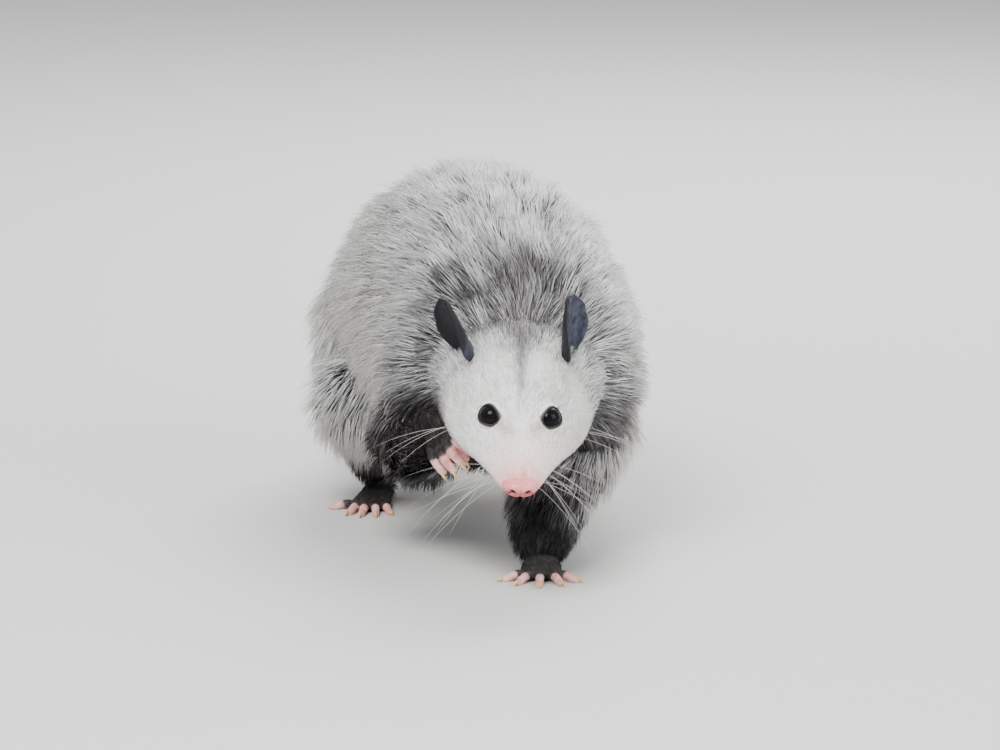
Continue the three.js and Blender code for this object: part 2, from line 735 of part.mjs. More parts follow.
// Tail: down from the rump and along the floor, parted into lengths
const TAIL_ROWS = [
  [-49, 378, 112, 17],
  [-51, 402, 98, 14.5],
  [-54, 426, 70, 12],
  [-57, 448, 38, 10.6],
  [-58, 474, 14, 9.7],
  [-55, 502, 0, 8.8],
  [-44, 530, 0, 7.8],
  [-25, 552, 0, 6.8],
  [0, 566, 0, 5.8],
  [26, 568, 0, 4.8],
  [48, 556, 0, 3.8],
  [60, 538, 0, 2.9],
].map(([x, y, z, radius]) => [x, y, Math.max(z, radius - TAIL_FLOOR), radius, radius]);
const TAIL_PARTS = 4;
const TAIL_RINGS = 7;
const TAIL_GAP_SHARE = 0.0006;
for (let part = 0; part < TAIL_PARTS; part++) {
  const last = part === TAIL_PARTS - 1;
  const from = part / TAIL_PARTS + (part ? TAIL_GAP_SHARE : 0);
  const to = (part + 1) / TAIL_PARTS - (last ? 0 : TAIL_GAP_SHARE);
  const size = { rings: TAIL_RINGS, sides: 11, domes: [0, last ? 2 : 0], from, to, up: vec(0, -0.2, 1) };
  make(
    `tail_${part + 1}`,
    (grow) => [tube(TAIL_ROWS, { ...size, grow }).intersect(ABOVE_FLOOR)],
    part === 0 ? ["rump"] : [],
  );
}

// The locks of a thigh, in rings round its tube, over the half that faces away from the body
function thighLocks(name) {
  const rows = legs[name].tubes[0];
  const outwards = name.endsWith("left") ? 1 : -1;
  const found = [];
  for (const t of THIGH_RINGS) {
    const [x, y, z, width] = along(rows, t);
    const axis = vec(...along(rows, Math.min(t + 0.05, 1)).slice(0, 3)).sub(vec(x, y, z)).normalize();
    for (const turn of THIGH_TURNS) {
      const angle = radians(turn + 8 * draw());
      const out = vec(outwards * Math.cos(angle), Math.sin(angle), 0.15).projectOnPlane(axis).normalize();
      found.push({
        root: vec(x, y, z).addScaledVector(out, width - THIGH_CORE_DEPTH),
        lie: axis.clone().addScaledVector(vec(0, 1, 0), 0.5).projectOnPlane(out).normalize(),
        out,
        reach: THIGH_CORE_DEPTH,
        length: LOCK_LENGTH * 0.8,
        width: LOCK_WIDTH * 0.8,
        side: 2 * draw(),
      });
    }
  }
  return found;
}
for (const name of ["thigh_left", "thigh_right"]) locksOf[name] = thighLocks(name);

// Coat: the locks of each part, cut clear of all but their own core and joined to it
const LEG_NODES = [...Object.keys(legs), ...Object.keys(paws), "tail_1"];
const coated = [];
for (const name of Object.keys(locksOf)) {
  const others = [...HEAD_NODES, ...LEG_NODES, ...Object.keys(locksOf)].filter((other) => other !== name);
  const locks = Manifold.union(locksOf[name].map((form) => lock(form, 0)));
  const clear = Manifold.union([...others.map((other) => swollen[other]), ...coated]);
  solids[name] = largest(solids[name].add(locks.subtract(clear).intersect(ABOVE_FLOOR)));
  coated.push(Manifold.union(locksOf[name].map((form) => lock(form, GAP))));
}

// Scene graph: a group for each region, and each mesh about a pivot of its own
const finish = {
  eye: materials.eye,
  nose: materials.noseSkin,
  head: materials.faceFur,
  jaw: materials.faceFur,
  ear: materials.earSkin,
  hand: materials.pinkSkin,
  foot: materials.pinkSkin,
  claw: materials.claw,
  neck: materials.coat,
  chest: materials.coat,
  loin: materials.coat,
  rump: materials.coat,
  foreleg: materials.legFur,
  shank: materials.legFur,
  thigh: materials.coat,
  tail: materials.tailSkin,
};
const regions = {
  eye: "head",
  nose: "head",
  head: "head",
  jaw: "head",
  ear: "head",
  hand: "forelimbs",
  claw: "limbs",
  foreleg: "forelimbs",
  foot: "hindlimbs",
  shank: "hindlimbs",
  thigh: "hindlimbs",
  tail: "tail",
};

function meshOf(name, solid) {
  const { numProp, vertProperties, triVerts } = solid.getMesh();
  const box = solid.boundingBox();
  const pivot = vec(...box.min).add(vec(...box.max)).divideScalar(2);
  const count = vertProperties.length / numProp;
  const place = new Float32Array(count * 3);
  for (let i = 0; i < count; i++) {
    place[3 * i] = vertProperties[i * numProp] - pivot.x;
    place[3 * i + 1] = vertProperties[i * numProp + 1] - pivot.y;
    place[3 * i + 2] = vertProperties[i * numProp + 2] - pivot.z;
  }
  const geometry = new THREE.BufferGeometry();
  geometry.setAttribute("position", new THREE.BufferAttribute(place, 3));
  geometry.setIndex(new THREE.BufferAttribute(triVerts, 1));
  geometry.computeVertexNormals();
  const mesh = new THREE.Mesh(geometry, finish[name.split("_")[0]]);
  mesh.name = name;
  mesh.position.copy(pivot);
  return mesh;
}

const opossum = new THREE.Group();
const groups = {};
for (const [name, solid] of Object.entries(solids)) {
  const region = regions[name.split("_")[0]] ?? "trunk";
  groups[region] ??= opossum.add(new THREE.Group()).children.at(-1);
  groups[region].add(meshOf(name, solid));
}

const whole = new THREE.Box3().setFromObject(opossum);
const middle = whole.getCenter(vec(0, 0, 0));
opossum.position.set(-middle.x, -middle.y, -whole.min.z);

export default opossum;
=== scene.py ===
"""A Virginia opossum in life size: skin, coat, face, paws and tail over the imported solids.

Lengths are millimetres in the frame that the solids are worked out in: the origin is on the floor
under the tip of the nose, +Y runs to the tail, +Z is up, and the animal's left is +X. They become
metres in the row frame when a mesh is written.
"""

import logging
import math
from dataclasses import dataclass, fields
from enum import Enum
from typing import Sequence

import bpy
import numpy as np
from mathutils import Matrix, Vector


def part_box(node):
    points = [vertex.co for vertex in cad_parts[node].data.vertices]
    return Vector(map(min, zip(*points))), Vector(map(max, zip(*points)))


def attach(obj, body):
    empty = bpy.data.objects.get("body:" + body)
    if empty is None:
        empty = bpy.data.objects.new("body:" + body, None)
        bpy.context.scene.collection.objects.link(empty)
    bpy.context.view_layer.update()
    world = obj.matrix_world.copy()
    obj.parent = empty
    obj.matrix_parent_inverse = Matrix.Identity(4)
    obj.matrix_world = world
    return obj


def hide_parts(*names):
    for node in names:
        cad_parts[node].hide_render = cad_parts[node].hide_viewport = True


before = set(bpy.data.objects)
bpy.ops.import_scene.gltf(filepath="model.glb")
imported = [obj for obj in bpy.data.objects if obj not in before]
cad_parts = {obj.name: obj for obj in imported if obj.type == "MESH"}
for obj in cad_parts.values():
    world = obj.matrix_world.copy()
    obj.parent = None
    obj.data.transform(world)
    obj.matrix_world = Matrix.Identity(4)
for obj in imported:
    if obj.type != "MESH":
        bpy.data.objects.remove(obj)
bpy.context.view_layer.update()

Array = np.ndarray
LOG = logging.getLogger("opossum")
METRE = 0.001

# Where the nose solid's middle and front lie in this script's frame, which sets the shift to metres
NOSE_MIDDLE_X = 1.12
NOSE_FRONT = 3.96
nose_low, nose_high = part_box("nose")
SHIFT = np.array([
    (nose_low.x + nose_high.x) / 2 / METRE - NOSE_MIDDLE_X,
    nose_low.y / METRE + NOSE_FRONT,
    0.0,
])

# The head's place and turn
NOSE_HEIGHT = 62.0
HEAD_ASIDE = 1.2
HEAD_PITCH = math.radians(24)
HEAD_YAW = math.radians(1.2)
HEAD_ROLL = math.radians(3)

# The eyes: their place on the head, radius, depth under its surface, and how deep they count
EYE_BACK = 43.5
EYE_ANGLE = math.radians(50)
EYE_RADIUS = 6.8
EYE_SUNK = 2.6
EYE_REACH = 12.0

# How far the skin lies under the tips of the coat on trunk, thighs and legs
CORE_DEPTH = 14.0
THIGH_CORE_DEPTH = 10.0
LEG_FUR_DEPTH = 4.0

# Heights over the floor of a standing palm's axis and of the lowest claw
SOLE = 2.2
CLAW_CLEARANCE = 0.05

# The toes' lengths, and how far back a root lies for each millimetre to the side
TOE_LENGTHS = (13, 14.5, 15, 14, 12)
ROOT_ARCH = 0.45

# The hair's length where a coat starts to behave as long coat and where it fully does
LONG_COAT = (9, 20)

# How softly bones blend, as a share of the radius and its limits, and how far trunk hair hangs
BLEND_SHARE = 0.16
BLEND_LIMITS = (0.5, 6.0)
HANG = 0.5

DOME_RINGS = 6
SIDES = ((1, "left"), (-1, "right"))
NO_TRIANGLES = np.zeros((0, 3), int)

# y, middle x, half width, top z, bottom z of the trunk to the tips of the coat
TRUNK_ROWS = [
    [70, 1, 20, 119, 85],
    [84, 1, 37, 131, 70],
    [102, 0, 54, 148, 50],
    [130, -2, 69, 168, 40],
    [175, -8, 74, 185, 42],
    [225, -17, 76, 191, 46],
    [280, -29, 74, 183, 48],
    [325, -37, 66, 166, 55],
    [360, -44, 49, 145, 69],
    [385, -48, 28, 125, 86],
    [396, -50, 7, 112, 104],
]
# The height of the trunk's widest place, and the powers of the oval above and below it
WIDEST_SHARE = 0.38
POINTED = 1.1
SQUARE = 0.76

# distance behind the nose tip, half width, top, bottom, height of the widest place
HEAD_ROWS = [
    [2, 9.0, 4.2, -6.4, -1.2],
    [8, 11.6, 8.0, -8.8, -2.2],
    [20, 15.8, 12.0, -11.5, -4],
    [34, 22.0, 16.0, -15.0, -6],
    [48, 30.0, 21.5, -19.0, -7],
    [60, 35.0, 26.0, -23.0, -7],
    [74, 38.0, 28.5, -27.0, -6],
    [90, 39.8, 29.5, -29.0, -4],
    [102, 39.0, 26.0, -27.0, -1],
    [112, 32.0, 19.0, -20.0, 1],
    [118, 16.0, 10.0, -9.0, 1],
]
# The power that ridges the head's upper half, and the brow's height, middle and reach
RIDGED = 1.3
BROW_HEIGHT = 1.6
BROW_BACK, BROW_LONG = 53, 7
BROW_ASIDE, BROW_WIDE = 14, 6

# distance behind the nose tip, half width, top, bottom
JAW_ROWS = [
    [9, 5.5, -7.5, -11.5],
    [20, 9.5, -8.5, -15.5],
    [36, 13.5, -10.5, -20.0],
    [54, 20.0, -13.0, -26.5],
    [72, 27.0, -17.0, -33.0],
    [86, 26.0, -20.0, -35.0],
]

# x, y, z, radius of the tail
TAIL_ROWS = [
    [-49, 378, 112, 17],
    [-51, 402, 98, 14.5],
    [-54, 426, 70, 12],
    [-57, 448, 38, 10.6],
    [-58, 474, 14, 9.7],
    [-55, 502, 8.4, 8.8],
    [-44, 530, 7.4, 7.8],
    [-25, 552, 6.4, 6.8],
    [0, 566, 5.4, 5.8],
    [26, 568, 4.4, 4.8],
    [48, 556, 3.4, 3.8],
    [60, 538, 2.5, 2.9],
]
FURRED_TAIL_ROWS = 4


class Region(Enum):
    """A chain of bones that shares one unwrap and one set of coat pieces."""

    HEAD = 0
    TRUNK = 1
    FORE_LEFT = 2
    FORE_RIGHT = 3
    HIND_LEFT = 4
    HIND_RIGHT = 5
    TAIL = 6


def catmull(rows: Sequence[Sequence[float]], t: Array) -> Array:
    """Reads rows of numbers along a Catmull-Rom curve.

    Args:
        rows: the rows, evenly spaced along the curve.
        t: places from 0, the first row, to 1, the last.

    Returns:
        One row for each place.
    """
    table = np.asarray(rows, float)
    last = len(table) - 1
    place = np.clip(np.asarray(t, float), 0, 1) * last
    i = np.minimum(place.astype(int), last - 1)
    f = (place - i)[:, None]
    before, start, end, after = (table[np.clip(i + k, 0, last)] for k in (-1, 0, 1, 2))
    slope = (end - before) / 2
    bend = before - 2.5 * start + 2 * end - after / 2
    twist = (3 * (start - end) + after - before) / 2
    return start + f * (slope + f * (bend + f * twist))


def at_first(rows: Sequence[Sequence[float]], values: Array) -> Array:
    """Reads the same curve where its first number has the values asked for."""
    t = np.linspace(0, 1, 2001)
    return catmull(rows, np.interp(values, catmull(rows, t)[:, 0], t))


def signed_power(value: Array, power: float) -> Array:
    """The power of a number's size, with its sign kept."""
    return np.sign(value) * np.abs(value) ** power


def unit(v: Array) -> Array:
    """Vectors along the last axis, brought to length 1."""
    return v / np.maximum(np.linalg.norm(v, axis=-1, keepdims=True), 1e-9)


def smoothstep(low: float, high: float, value: Array) -> Array:
    """0 below low, 1 above high, and a smooth rise between."""
    t = np.clip((value - low) / (high - low), 0, 1)
    return t * t * (3 - 2 * t)


def turn(axis: int, angle: float) -> Array:
    """The 3x3 matrix of a turn about one axis.

    Args:
        axis: 0, 1 or 2 for x, y or z.
        angle: the angle in radians.

    Returns:
        The matrix, which turns column vectors.
    """
    c, s = math.cos(angle), math.sin(angle)
    i, j = [(1, 2), (2, 0), (0, 1)][axis]
    m = np.eye(3)
    m[i, i], m[i, j], m[j, i], m[j, j] = c, -s, s, c
    return m


def bell(*values: Array) -> Array:
    """A bell curve of values taken together: 1 where all are 0, and 0.37 at a distance of 1."""
    return np.exp(-sum(value**2 for value in values))


def even_angles(count: int) -> Array:
    """Angles evenly spaced round a full turn, from 0."""
    return np.linspace(0, 2 * math.pi, count, endpoint=False)


def from_parts(parts: Sequence[Array], axes: Sequence[Array]) -> Array:
    """Vectors made of their parts along three axes."""
    return sum(part[..., None] * axis for part, axis in zip(parts, axes))


HEAD_TURN = turn(2, HEAD_YAW) @ turn(0, HEAD_PITCH) @ turn(1, HEAD_ROLL)


def on_head(points: Array) -> Array:
    """Points of the head's own frame, origin at the nose tip, in the body's frame."""
    return np.asarray(points, float) @ HEAD_TURN.T + [HEAD_ASIDE, 0, NOSE_HEIGHT]


def from_head(points: Array) -> Array:
    """Points of the body's frame in the head's own frame."""
    return (np.asarray(points, float) - [HEAD_ASIDE, 0, NOSE_HEIGHT]) @ HEAD_TURN


def head_point(back: Array, angle: Array) -> Array:
    """The head's surface: an oval of two different halves about its widest height, with a brow.

    The upper half is drawn in to a ridge by a power of cosine and sine, the lower half is round,
    and a bell on each side lifts the brow over the eyes.

    Args:
        back: distances behind the nose tip.
        angle: angles round the head, from its left over its top.

    Returns:
        Points of the head's own frame.
    """
    row = at_first(HEAD_ROWS, np.ravel(back)).reshape(*np.shape(back), 5)
    width, top, bottom, wide = (row[..., k] for k in (1, 2, 3, 4))
    above = np.sin(angle) > 0
    rise = np.where(above, top - wide, wide - bottom)
    cos, sin = np.cos(angle), np.sin(angle)
    x = np.where(above, signed_power(cos, RIDGED), cos) * width
    z = wide + np.where(above, signed_power(sin, RIDGED), sin) * rise
    brow = BROW_HEIGHT * bell((back - BROW_BACK) / BROW_LONG, (np.abs(x) - BROW_ASIDE) / BROW_WIDE)
    return np.stack([x, np.broadcast_to(back, x.shape), z + np.where(above, brow, 0)], -1)


def trunk_point(station: Array, angle: Array, depth: float) -> Array:
    """The trunk's surface: an oval of two halves, pointed above its widest height and square below.

    Args:
        station: places along y.
        angle: angles round the trunk, from its left over its top.
        depth: how far under the tips of the coat.

    Returns:
        Points of the body's frame.
    """
    row = at_first(TRUNK_ROWS, np.ravel(station)).reshape(*np.shape(station), 5)
    middle, width, top, bottom = (row[..., k] for k in (1, 2, 3, 4))
    wide = bottom + (top - bottom) * WIDEST_SHARE
    cos, sin = np.cos(angle), np.sin(angle)
    above = sin > 0
    rise = np.where(above, top - wide, wide - bottom)
    power = np.where(above, POINTED, SQUARE)

    def inner(size: Array) -> Array:
        """A half size less the depth, but never less than a quarter of itself."""
        return np.maximum(size - depth, size * 0.25)

    x = middle + signed_power(cos, power) * inner(width)
    z = wide + signed_power(sin, power) * inner(rise)
    return np.stack([x, np.broadcast_to(station, x.shape), z], -1)


@dataclass
class Surface:
    """A mesh as arrays: points in millimetres and faces of three or four corners."""

    points: Array
    triangles: Array
    quads: Array

    @staticmethod
    def closed(rings: Array) -> "Surface":
        """A skin over a stack of rings, closed by a fan round the middle of each end ring.

        Args:
            rings: points by ring, place in the ring, and x, y, z.

        Returns:
            The mesh, facing outwards.
        """
        count, around = rings.shape[:2]
        middles = rings[[0, -1]].mean(1)
        points = np.concatenate([rings.reshape(-1, 3), middles])
        s = np.arange(around)
        step = (s + 1) % around
        base = (np.arange(count - 1) * around)[:, None]
        quads = np.stack([base + s, base + step, base + around + step, base + around + s], -1)
        last = (count - 1) * around
        ends = [
            np.stack([np.full(around, count * around), step, s], -1),
            np.stack([np.full(around, count * around + 1), last + s, last + step], -1),
        ]
        return Surface(points, np.concatenate(ends), quads.reshape(-1, 4)).outward()

    @staticmethod
    def band(rings: Array) -> "Surface":
        """A closed band over rings of which the last joins the first.

        Args:
            rings: points by ring, place in the ring, and x, y, z.

        Returns:
            The mesh, facing outwards.
        """
        count, around = rings.shape[:2]
        r = np.arange(count)[:, None]
        s = np.arange(around)[None]
        corner = [(r, s), (r, s + 1), (r + 1, s + 1), (r + 1, s)]
        quads = np.stack([(a % count) * around + b % around for a, b in corner], -1)
        return Surface(rings.reshape(-1, 3), NO_TRIANGLES, quads.reshape(-1, 4)).outward()

    @staticmethod
    def joined(parts: "Sequence[Surface]") -> "Surface":
        """Several meshes as one.

        Args:
            parts: the meshes.

        Returns:
            Their points and faces one after the other.
        """
        starts = np.cumsum([0] + [len(p.points) for p in parts[:-1]])
        return Surface(
            np.concatenate([p.points for p in parts]),
            np.concatenate([p.triangles + n for p, n in zip(parts, starts)]),
            np.concatenate([p.quads + n for p, n in zip(parts, starts)]),
        )

    def outward(self) -> "Surface":
        """The mesh itself, or turned round if the volume inside its faces is negative.

        The volume is a sixth of the sum of the triangles' triple products.

        Returns:
            The mesh with its faces pointing outwards.
        """
        tri = np.concatenate([self.triangles, self.quads[:, :3], self.quads[:, [0, 2, 3]]])
        a, b, c = (self.points[tri[:, k]] for k in range(3))
        if np.einsum("ij,ij->i", a, np.cross(b, c)).sum() > 0:
            return self
        return Surface(self.points, self.triangles[:, ::-1], self.quads[:, ::-1])


def tube(
    rows: Sequence[Sequence[float]],
    rings: int = 24,
    sides: int = 24,
    up: Sequence[float] = (0, 0, 1),
    grow: float = 0.0,
) -> Surface:
    """A bent tube through rows of x, y, z, half width, half thickness, with a dome at each end.

    Args:
        rows: the rows.
        rings: rings between the domes.
        sides: points of a ring.
        up: the way the thickness points.
        grow: added to the half sizes.

    Returns:
        The closed tube.
    """
    dome = np.arange(1, DOME_RINGS + 1) / (DOME_RINGS + 0.5) * math.pi / 2
    t = np.concatenate([np.zeros(DOME_RINGS), np.linspace(0, 1, rings), np.ones(DOME_RINGS)])
    bend = np.concatenate([-dome[::-1], np.zeros(rings), dome])
    row = catmull(rows, t)
    ahead, behind = catmull(rows, t + 0.01), catmull(rows, t - 0.01)
    forward = unit(ahead[:, :3] - behind[:, :3])
    side = unit(np.cross(forward, np.asarray(up, float)))
    over = np.cross(side, forward)
    width, thick = row[:, 3] + grow, row[:, 4] + grow
    middle = row[:, :3] + forward * (np.sin(bend) * np.minimum(width, thick))[:, None]
    angle = 2 * math.pi * np.arange(sides) / sides
    reach = np.cos(bend)[:, None, None]
    across = (np.cos(angle) * width[:, None])[..., None] * side[:, None]
    rise = (np.sin(angle) * thick[:, None])[..., None] * over[:, None]
    return Surface.closed(middle[:, None] + reach * (across + rise))


def add_object(name: str, data: bpy.types.ID) -> bpy.types.Object:
    """Adds an object to the scene, at the origin.

    Args:
        name: its name.
        data: its mesh, light or camera.

    Returns:
        The object.
    """
    made = bpy.data.objects.new(name, data)
    bpy.context.scene.collection.objects.link(made)
    return made


def write_mesh(name: str, surface: Surface) -> bpy.types.Object:
    """Writes a surface as a smooth mesh, in metres in the row frame, with its object at the origin.

    Args:
        name: the piece's name.
        surface: the mesh as arrays.

    Returns:
        The new object, linked to the scene.
    """
    mesh = bpy.data.meshes.new(name)
    triangles, quads = surface.triangles, surface.quads
    mesh.vertices.add(len(surface.points))
    place = (surface.points + SHIFT) * METRE
    mesh.vertices.foreach_set("co", place.astype(np.float32).ravel())
    corners = np.concatenate([triangles.ravel(), quads.ravel()]).astype(np.int32)
    starts = np.concatenate([
        np.arange(len(triangles)) * 3,
        len(triangles) * 3 + np.arange(len(quads)) * 4,
    ]).astype(np.int32)
    mesh.loops.add(len(corners))
    mesh.loops.foreach_set("vertex_index", corners)
    mesh.polygons.add(len(starts))
    mesh.polygons.foreach_set("loop_start", starts)
    mesh.polygons.foreach_set("use_smooth", np.ones(len(starts), bool))
    mesh.update(calc_edges=True)
    return add_object(name, mesh)


def store(mesh: bpy.types.Mesh, **kinds: Array) -> None:
    """Stores numbers at the vertices of a mesh under names that materials can read.

    Args:
        mesh: the mesh.
        kinds: one number for each vertex, by name.
    """
    for name, values in kinds.items():
        layer = mesh.attributes.new(name, "FLOAT", "POINT")
        layer.data.foreach_set("value", values.astype(np.float32).ravel())


def vertex_arrays(mesh: bpy.types.Mesh) -> tuple[Array, Array]:
    """Reads the vertices of a mesh.

    Args:
        mesh: the mesh.

    Returns:
        Points in millimetres of the body's frame, and unit normals.
    """
    points = np.zeros(len(mesh.vertices) * 3, np.float32)
    normals = np.zeros(len(mesh.vertices) * 3, np.float32)
    mesh.vertices.foreach_get("co", points)
    mesh.vertices.foreach_get("normal", normals)
    return points.reshape(-1, 3) / METRE - SHIFT, normals.reshape(-1, 3).astype(float)


def dress(
    made: bpy.types.Object, material: bpy.types.Material, replaced: Sequence[str] = ()
) -> None:
    """Finishes a piece: its material, its body and the nodes it stands for.

    Args:
        made: the piece.
        material: its material.
        replaced: the solids' nodes that the piece replaces.
    """
    made.data.materials.append(material)
    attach(made, "root")
    if replaced:
        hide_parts(*replaced)
    LOG.info("%s: %d faces", made.name, len(made.data.polygons))


# Bones: each coat value is given at a bone's start and end, and blends between bones


@dataclass(frozen=True)
class Bone:
    """A line under the skin, with the cut of the coat over it at its start and at its end."""

    region: Region
    start: tuple[float, float, float]
    end: tuple[float, float, float]
    radius: tuple[float, float]
    length: tuple[float, float]
    rise: tuple[float, float]
    width: tuple[float, float]
    white: tuple[float, float]
    furred: tuple[float, float]
    density: tuple[float, float]


def bones_along(
    region: Region,
    path: Sequence[Sequence[float]],
    radius: Sequence[float],
    length: Sequence[float],
    rise: float,
    width: Sequence[float],
    white: Sequence[float],
    furred: Sequence[float] | None = None,
    density: float = 0.4,
) -> list[Bone]:
    """Bones along a path, with one number of each kind for each of its points.

    Args:
        region: the chain that they belong to.
        path: points of the path.
        radius: how far the skin is from the path.
        length: the length of the hair.
        rise: how steeply it stands, in degrees.
        width: the width of a tuft.
        white: how light the hair is.
        furred: how far the skin is covered, fully if left out.
        density: tufts on a square millimetre.

    Returns:
        One bone for each stretch of the path.
    """
    count = len(path)
    cover = furred or (1.0,) * count
    kinds = (radius, length, (rise,) * count, width, white, cover, (density,) * count)
    return [
        Bone(region, tuple(path[i]), tuple(path[i + 1]), *(tuple(kind[i:i + 2]) for kind in kinds))
        for i in range(count - 1)
    ]


@dataclass(frozen=True)
class Toe:
    """A toe in its paw's own frame: root, angle out from the middle, length, radius, drop."""

    x: float
    y: float
    angle: float
    length: float
    radius: float = 2.2
    drop: float = 1.2
    bend: float = 1.0
    lift: float = 0.0

    def rows(self) -> Array:
        """The toe's rows for a tube: straight out, over the knuckle and down to the tip.

        Returns:
            Rows of x, y, z, half width and half thickness.
        """
        share = np.array([0, 0.45, 0.8, 1.0])
        z = self.lift + np.array([0, 0.9, -self.drop * 0.3, -self.drop])
        size = self.radius * np.array([1.15, 1.05, 0.98, 0.9])
        return np.stack([*self.out(self.x, self.y, self.length * share), z, size, size], -1)

    def claw_rows(self, length: float) -> Array:
        """The claw's rows for a tube, which bends down from the toe's tip to a blunt point.

        Args:
            length: how far the claw reaches past the tip.

        Returns:
            Rows of x, y, z, half width and half thickness.
        """
        x, y, z = self.rows()[-1, :3]
        down = np.array([-0.1, 0.35, 1.9]) * self.bend
        size = np.array([1.3, 1.0, 0.3])
        ahead = self.out(x, y, length * np.array([-0.3, 0.5, 1.0]))
        return np.stack([*ahead, z + 0.9 - down, size * 0.8, size], -1)

    def out(self, x: float, y: float, reach: Array) -> tuple[Array, Array]:
        """Places that lie a given way out from x and y at the toe's angle."""
        turned = math.radians(self.angle)
        return x + math.sin(turned) * reach, y + math.cos(turned) * reach


def toes(
    spread: Sequence[float],
    roots: Sequence[float],
    longer: float = 0.0,
    root: float = 9.0,
    lifts: Sequence[float] = (0, 0, 0, 0, 0),
    **more: float,
) -> list[Toe]:
    """The five toes of a paw.

    Args:
        spread: the angle of each toe.
        roots: the place of each root across the palm.
        longer: added to the length of every toe.
        root: how far along the palm the middle root lies.
        lifts: how far each toe lies above the palm's middle.
        more: radius, drop and bend of all toes.

    Returns:
        The toes.
    """
    return [
        Toe(x, root - abs(x) * ROOT_ARCH, angle, reach + longer, lift=lift, **more)
        for angle, x, reach, lift in zip(spread, roots, TOE_LENGTHS, lifts)
    ]


@dataclass
class Paw:
    """A paw: where it stands, its palm and its toes. +Y runs to the toe tips, +Z is its back."""

    name: str
    region: Region
    origin: tuple[float, float, float]
    forward: tuple[float, float, float]
    back: tuple[float, float, float]
    palm: list[list[float]]
    toes: list[Toe]
    first_claw: int = 1
    claw_length: float = 5.0
    furred_share: float = 0.2

    def axes(self) -> Array:
        """The paw's own frame, worked out from its forward way and its back.

        Returns:
            Unit vectors across the paw, forward and up, one a row.
        """
        y = unit(np.array(self.forward, float))
        z = np.array(self.back, float)
        z = unit(z - y * (z @ y))
        return np.stack([np.cross(y, z), y, z])

    def place(self, rows: Sequence[Sequence[float]]) -> Array:
        """Moves rows of the paw's own frame into the body's.

        Args:
            rows: rows that begin with x, y, z.

        Returns:
            The rows with their places moved.
        """
        moved = np.array(rows, float)
        moved[:, :3] = moved[:, :3] @ self.axes() + np.array(self.origin)
        return moved

    def form(self, rows: Sequence[Sequence[float]], **more: int) -> Surface:
        """A tube through rows of the paw's own frame."""
        return tube(self.place(rows), up=self.axes()[2], **more)

    def flesh(self) -> list[Surface]:
        """The palm and the toes."""
        return [self.form(self.palm, sides=32)] + [
            self.form(toe.rows(), rings=20, sides=18) for toe in self.toes
        ]

    def claws(self) -> Surface:
        """All claws of the paw as one mesh, kept clear of the floor.

        Returns:
            The closed tubes of the claws.
        """
        rows = [toe.claw_rows(self.claw_length) for toe in self.toes[self.first_claw - 1:]]
        made = Surface.joined([self.form(row, rings=14, sides=12) for row in rows])
        made.points[:, 2] = np.maximum(made.points[:, 2], CLAW_CLEARANCE)
        return made

    def build_claws(self, material: bpy.types.Material) -> None:
        """Builds the claws as one piece that replaces their nodes.

        Args:
            material: the claws' material.
        """
        numbers = range(self.first_claw, len(self.toes) + 1)
        made = write_mesh(f"claws_{self.name}", self.claws())
        dress(made, material, [f"claw_{self.name}_{i}" for i in numbers])

    def bones(self) -> list[Bone]:
        """Bones of the palm, of the furred root of each toe and of its bare rest.

        Returns:
            The bones.
        """
        palm = self.place(self.palm)
        found = bones_along(
            self.region, palm[[0, -1], :3], (6, 5.5), (11, 4.5), 28, (0.5, 0.4), (0.02, 0.02),
            density=1.5,
        )
        for toe in self.toes:
            start, end = self.place(toe.rows())[[0, -1], :3]
            bare = start + (end - start) * self.furred_share
            found += bones_along(
                self.region, [palm[0, :3], bare], (6, 3.4), (7, 2.2), 22, (0.5, 0.35),
                (0.02, 0.02), density=1.5,
            )
            found += bones_along(
                self.region, [bare, end], (2.1, 2), (0.9, 0.8), 10, (0.4, 0.4), (0.1, 0.6),
                (0.0, 0.0), 0.1,
            )
        return found


FOOT_PALM = [[0, -30, 4.5, 6.5, 6.5], [0, -14, 2.2, 8.5, 4.8], [0, 6, 0.9, 11.0, 3.6]]
PAWS = [
    Paw(
        "hand_left", Region.FORE_LEFT, (12, 70, SOLE), (-0.05, -1, 0), (0, 0, 1),
        [[0, -12, 6.5, 7.5, 6.5], [0, -4, 3.2, 9.5, 5.2], [0, 6, 0.9, 10.5, 3.6]],
        toes((-58, -27, 0, 27, 60), (-7.5, -4.5, 0, 4.5, 7.5), bend=0.55),
    ),
    Paw(
        "hand_right", Region.FORE_RIGHT, (-40.5, 83, 71.5), (0.4, -0.62, -0.68),
        (-0.684, -0.717, 0.135),
        [[0, -9, -0.4, 6.8, 5.4], [0, -4, 0.2, 8.2, 4.8], [0, 1.5, 0.3, 9.6, 3.6]],
        toes(
            (12, -9, -2, 5, 13), (-6, -7.6, -2.6, 2.6, 7.6), longer=2, root=5,
            lifts=(-4.5, 0, 0, 0, 0), drop=3, radius=2.45,
        ),
    ),
    Paw(
        "foot_left", Region.HIND_LEFT, (15, 262, SOLE), (0.15, -1, 0), (0, 0, 1), FOOT_PALM,
        toes((-82, -16, -2, 12, 28), (-8, -5, -1.2, 3, 7), bend=0.55), first_claw=2,
    ),
    Paw(
        "foot_right", Region.HIND_RIGHT, (-79, 238, SOLE), (-0.15, -1, 0), (0, 0, 1), FOOT_PALM,
        toes((82, 16, 2, -12, -28), (8, 5, 1.2, -3, -7), bend=0.55), first_claw=2,
    ),
]

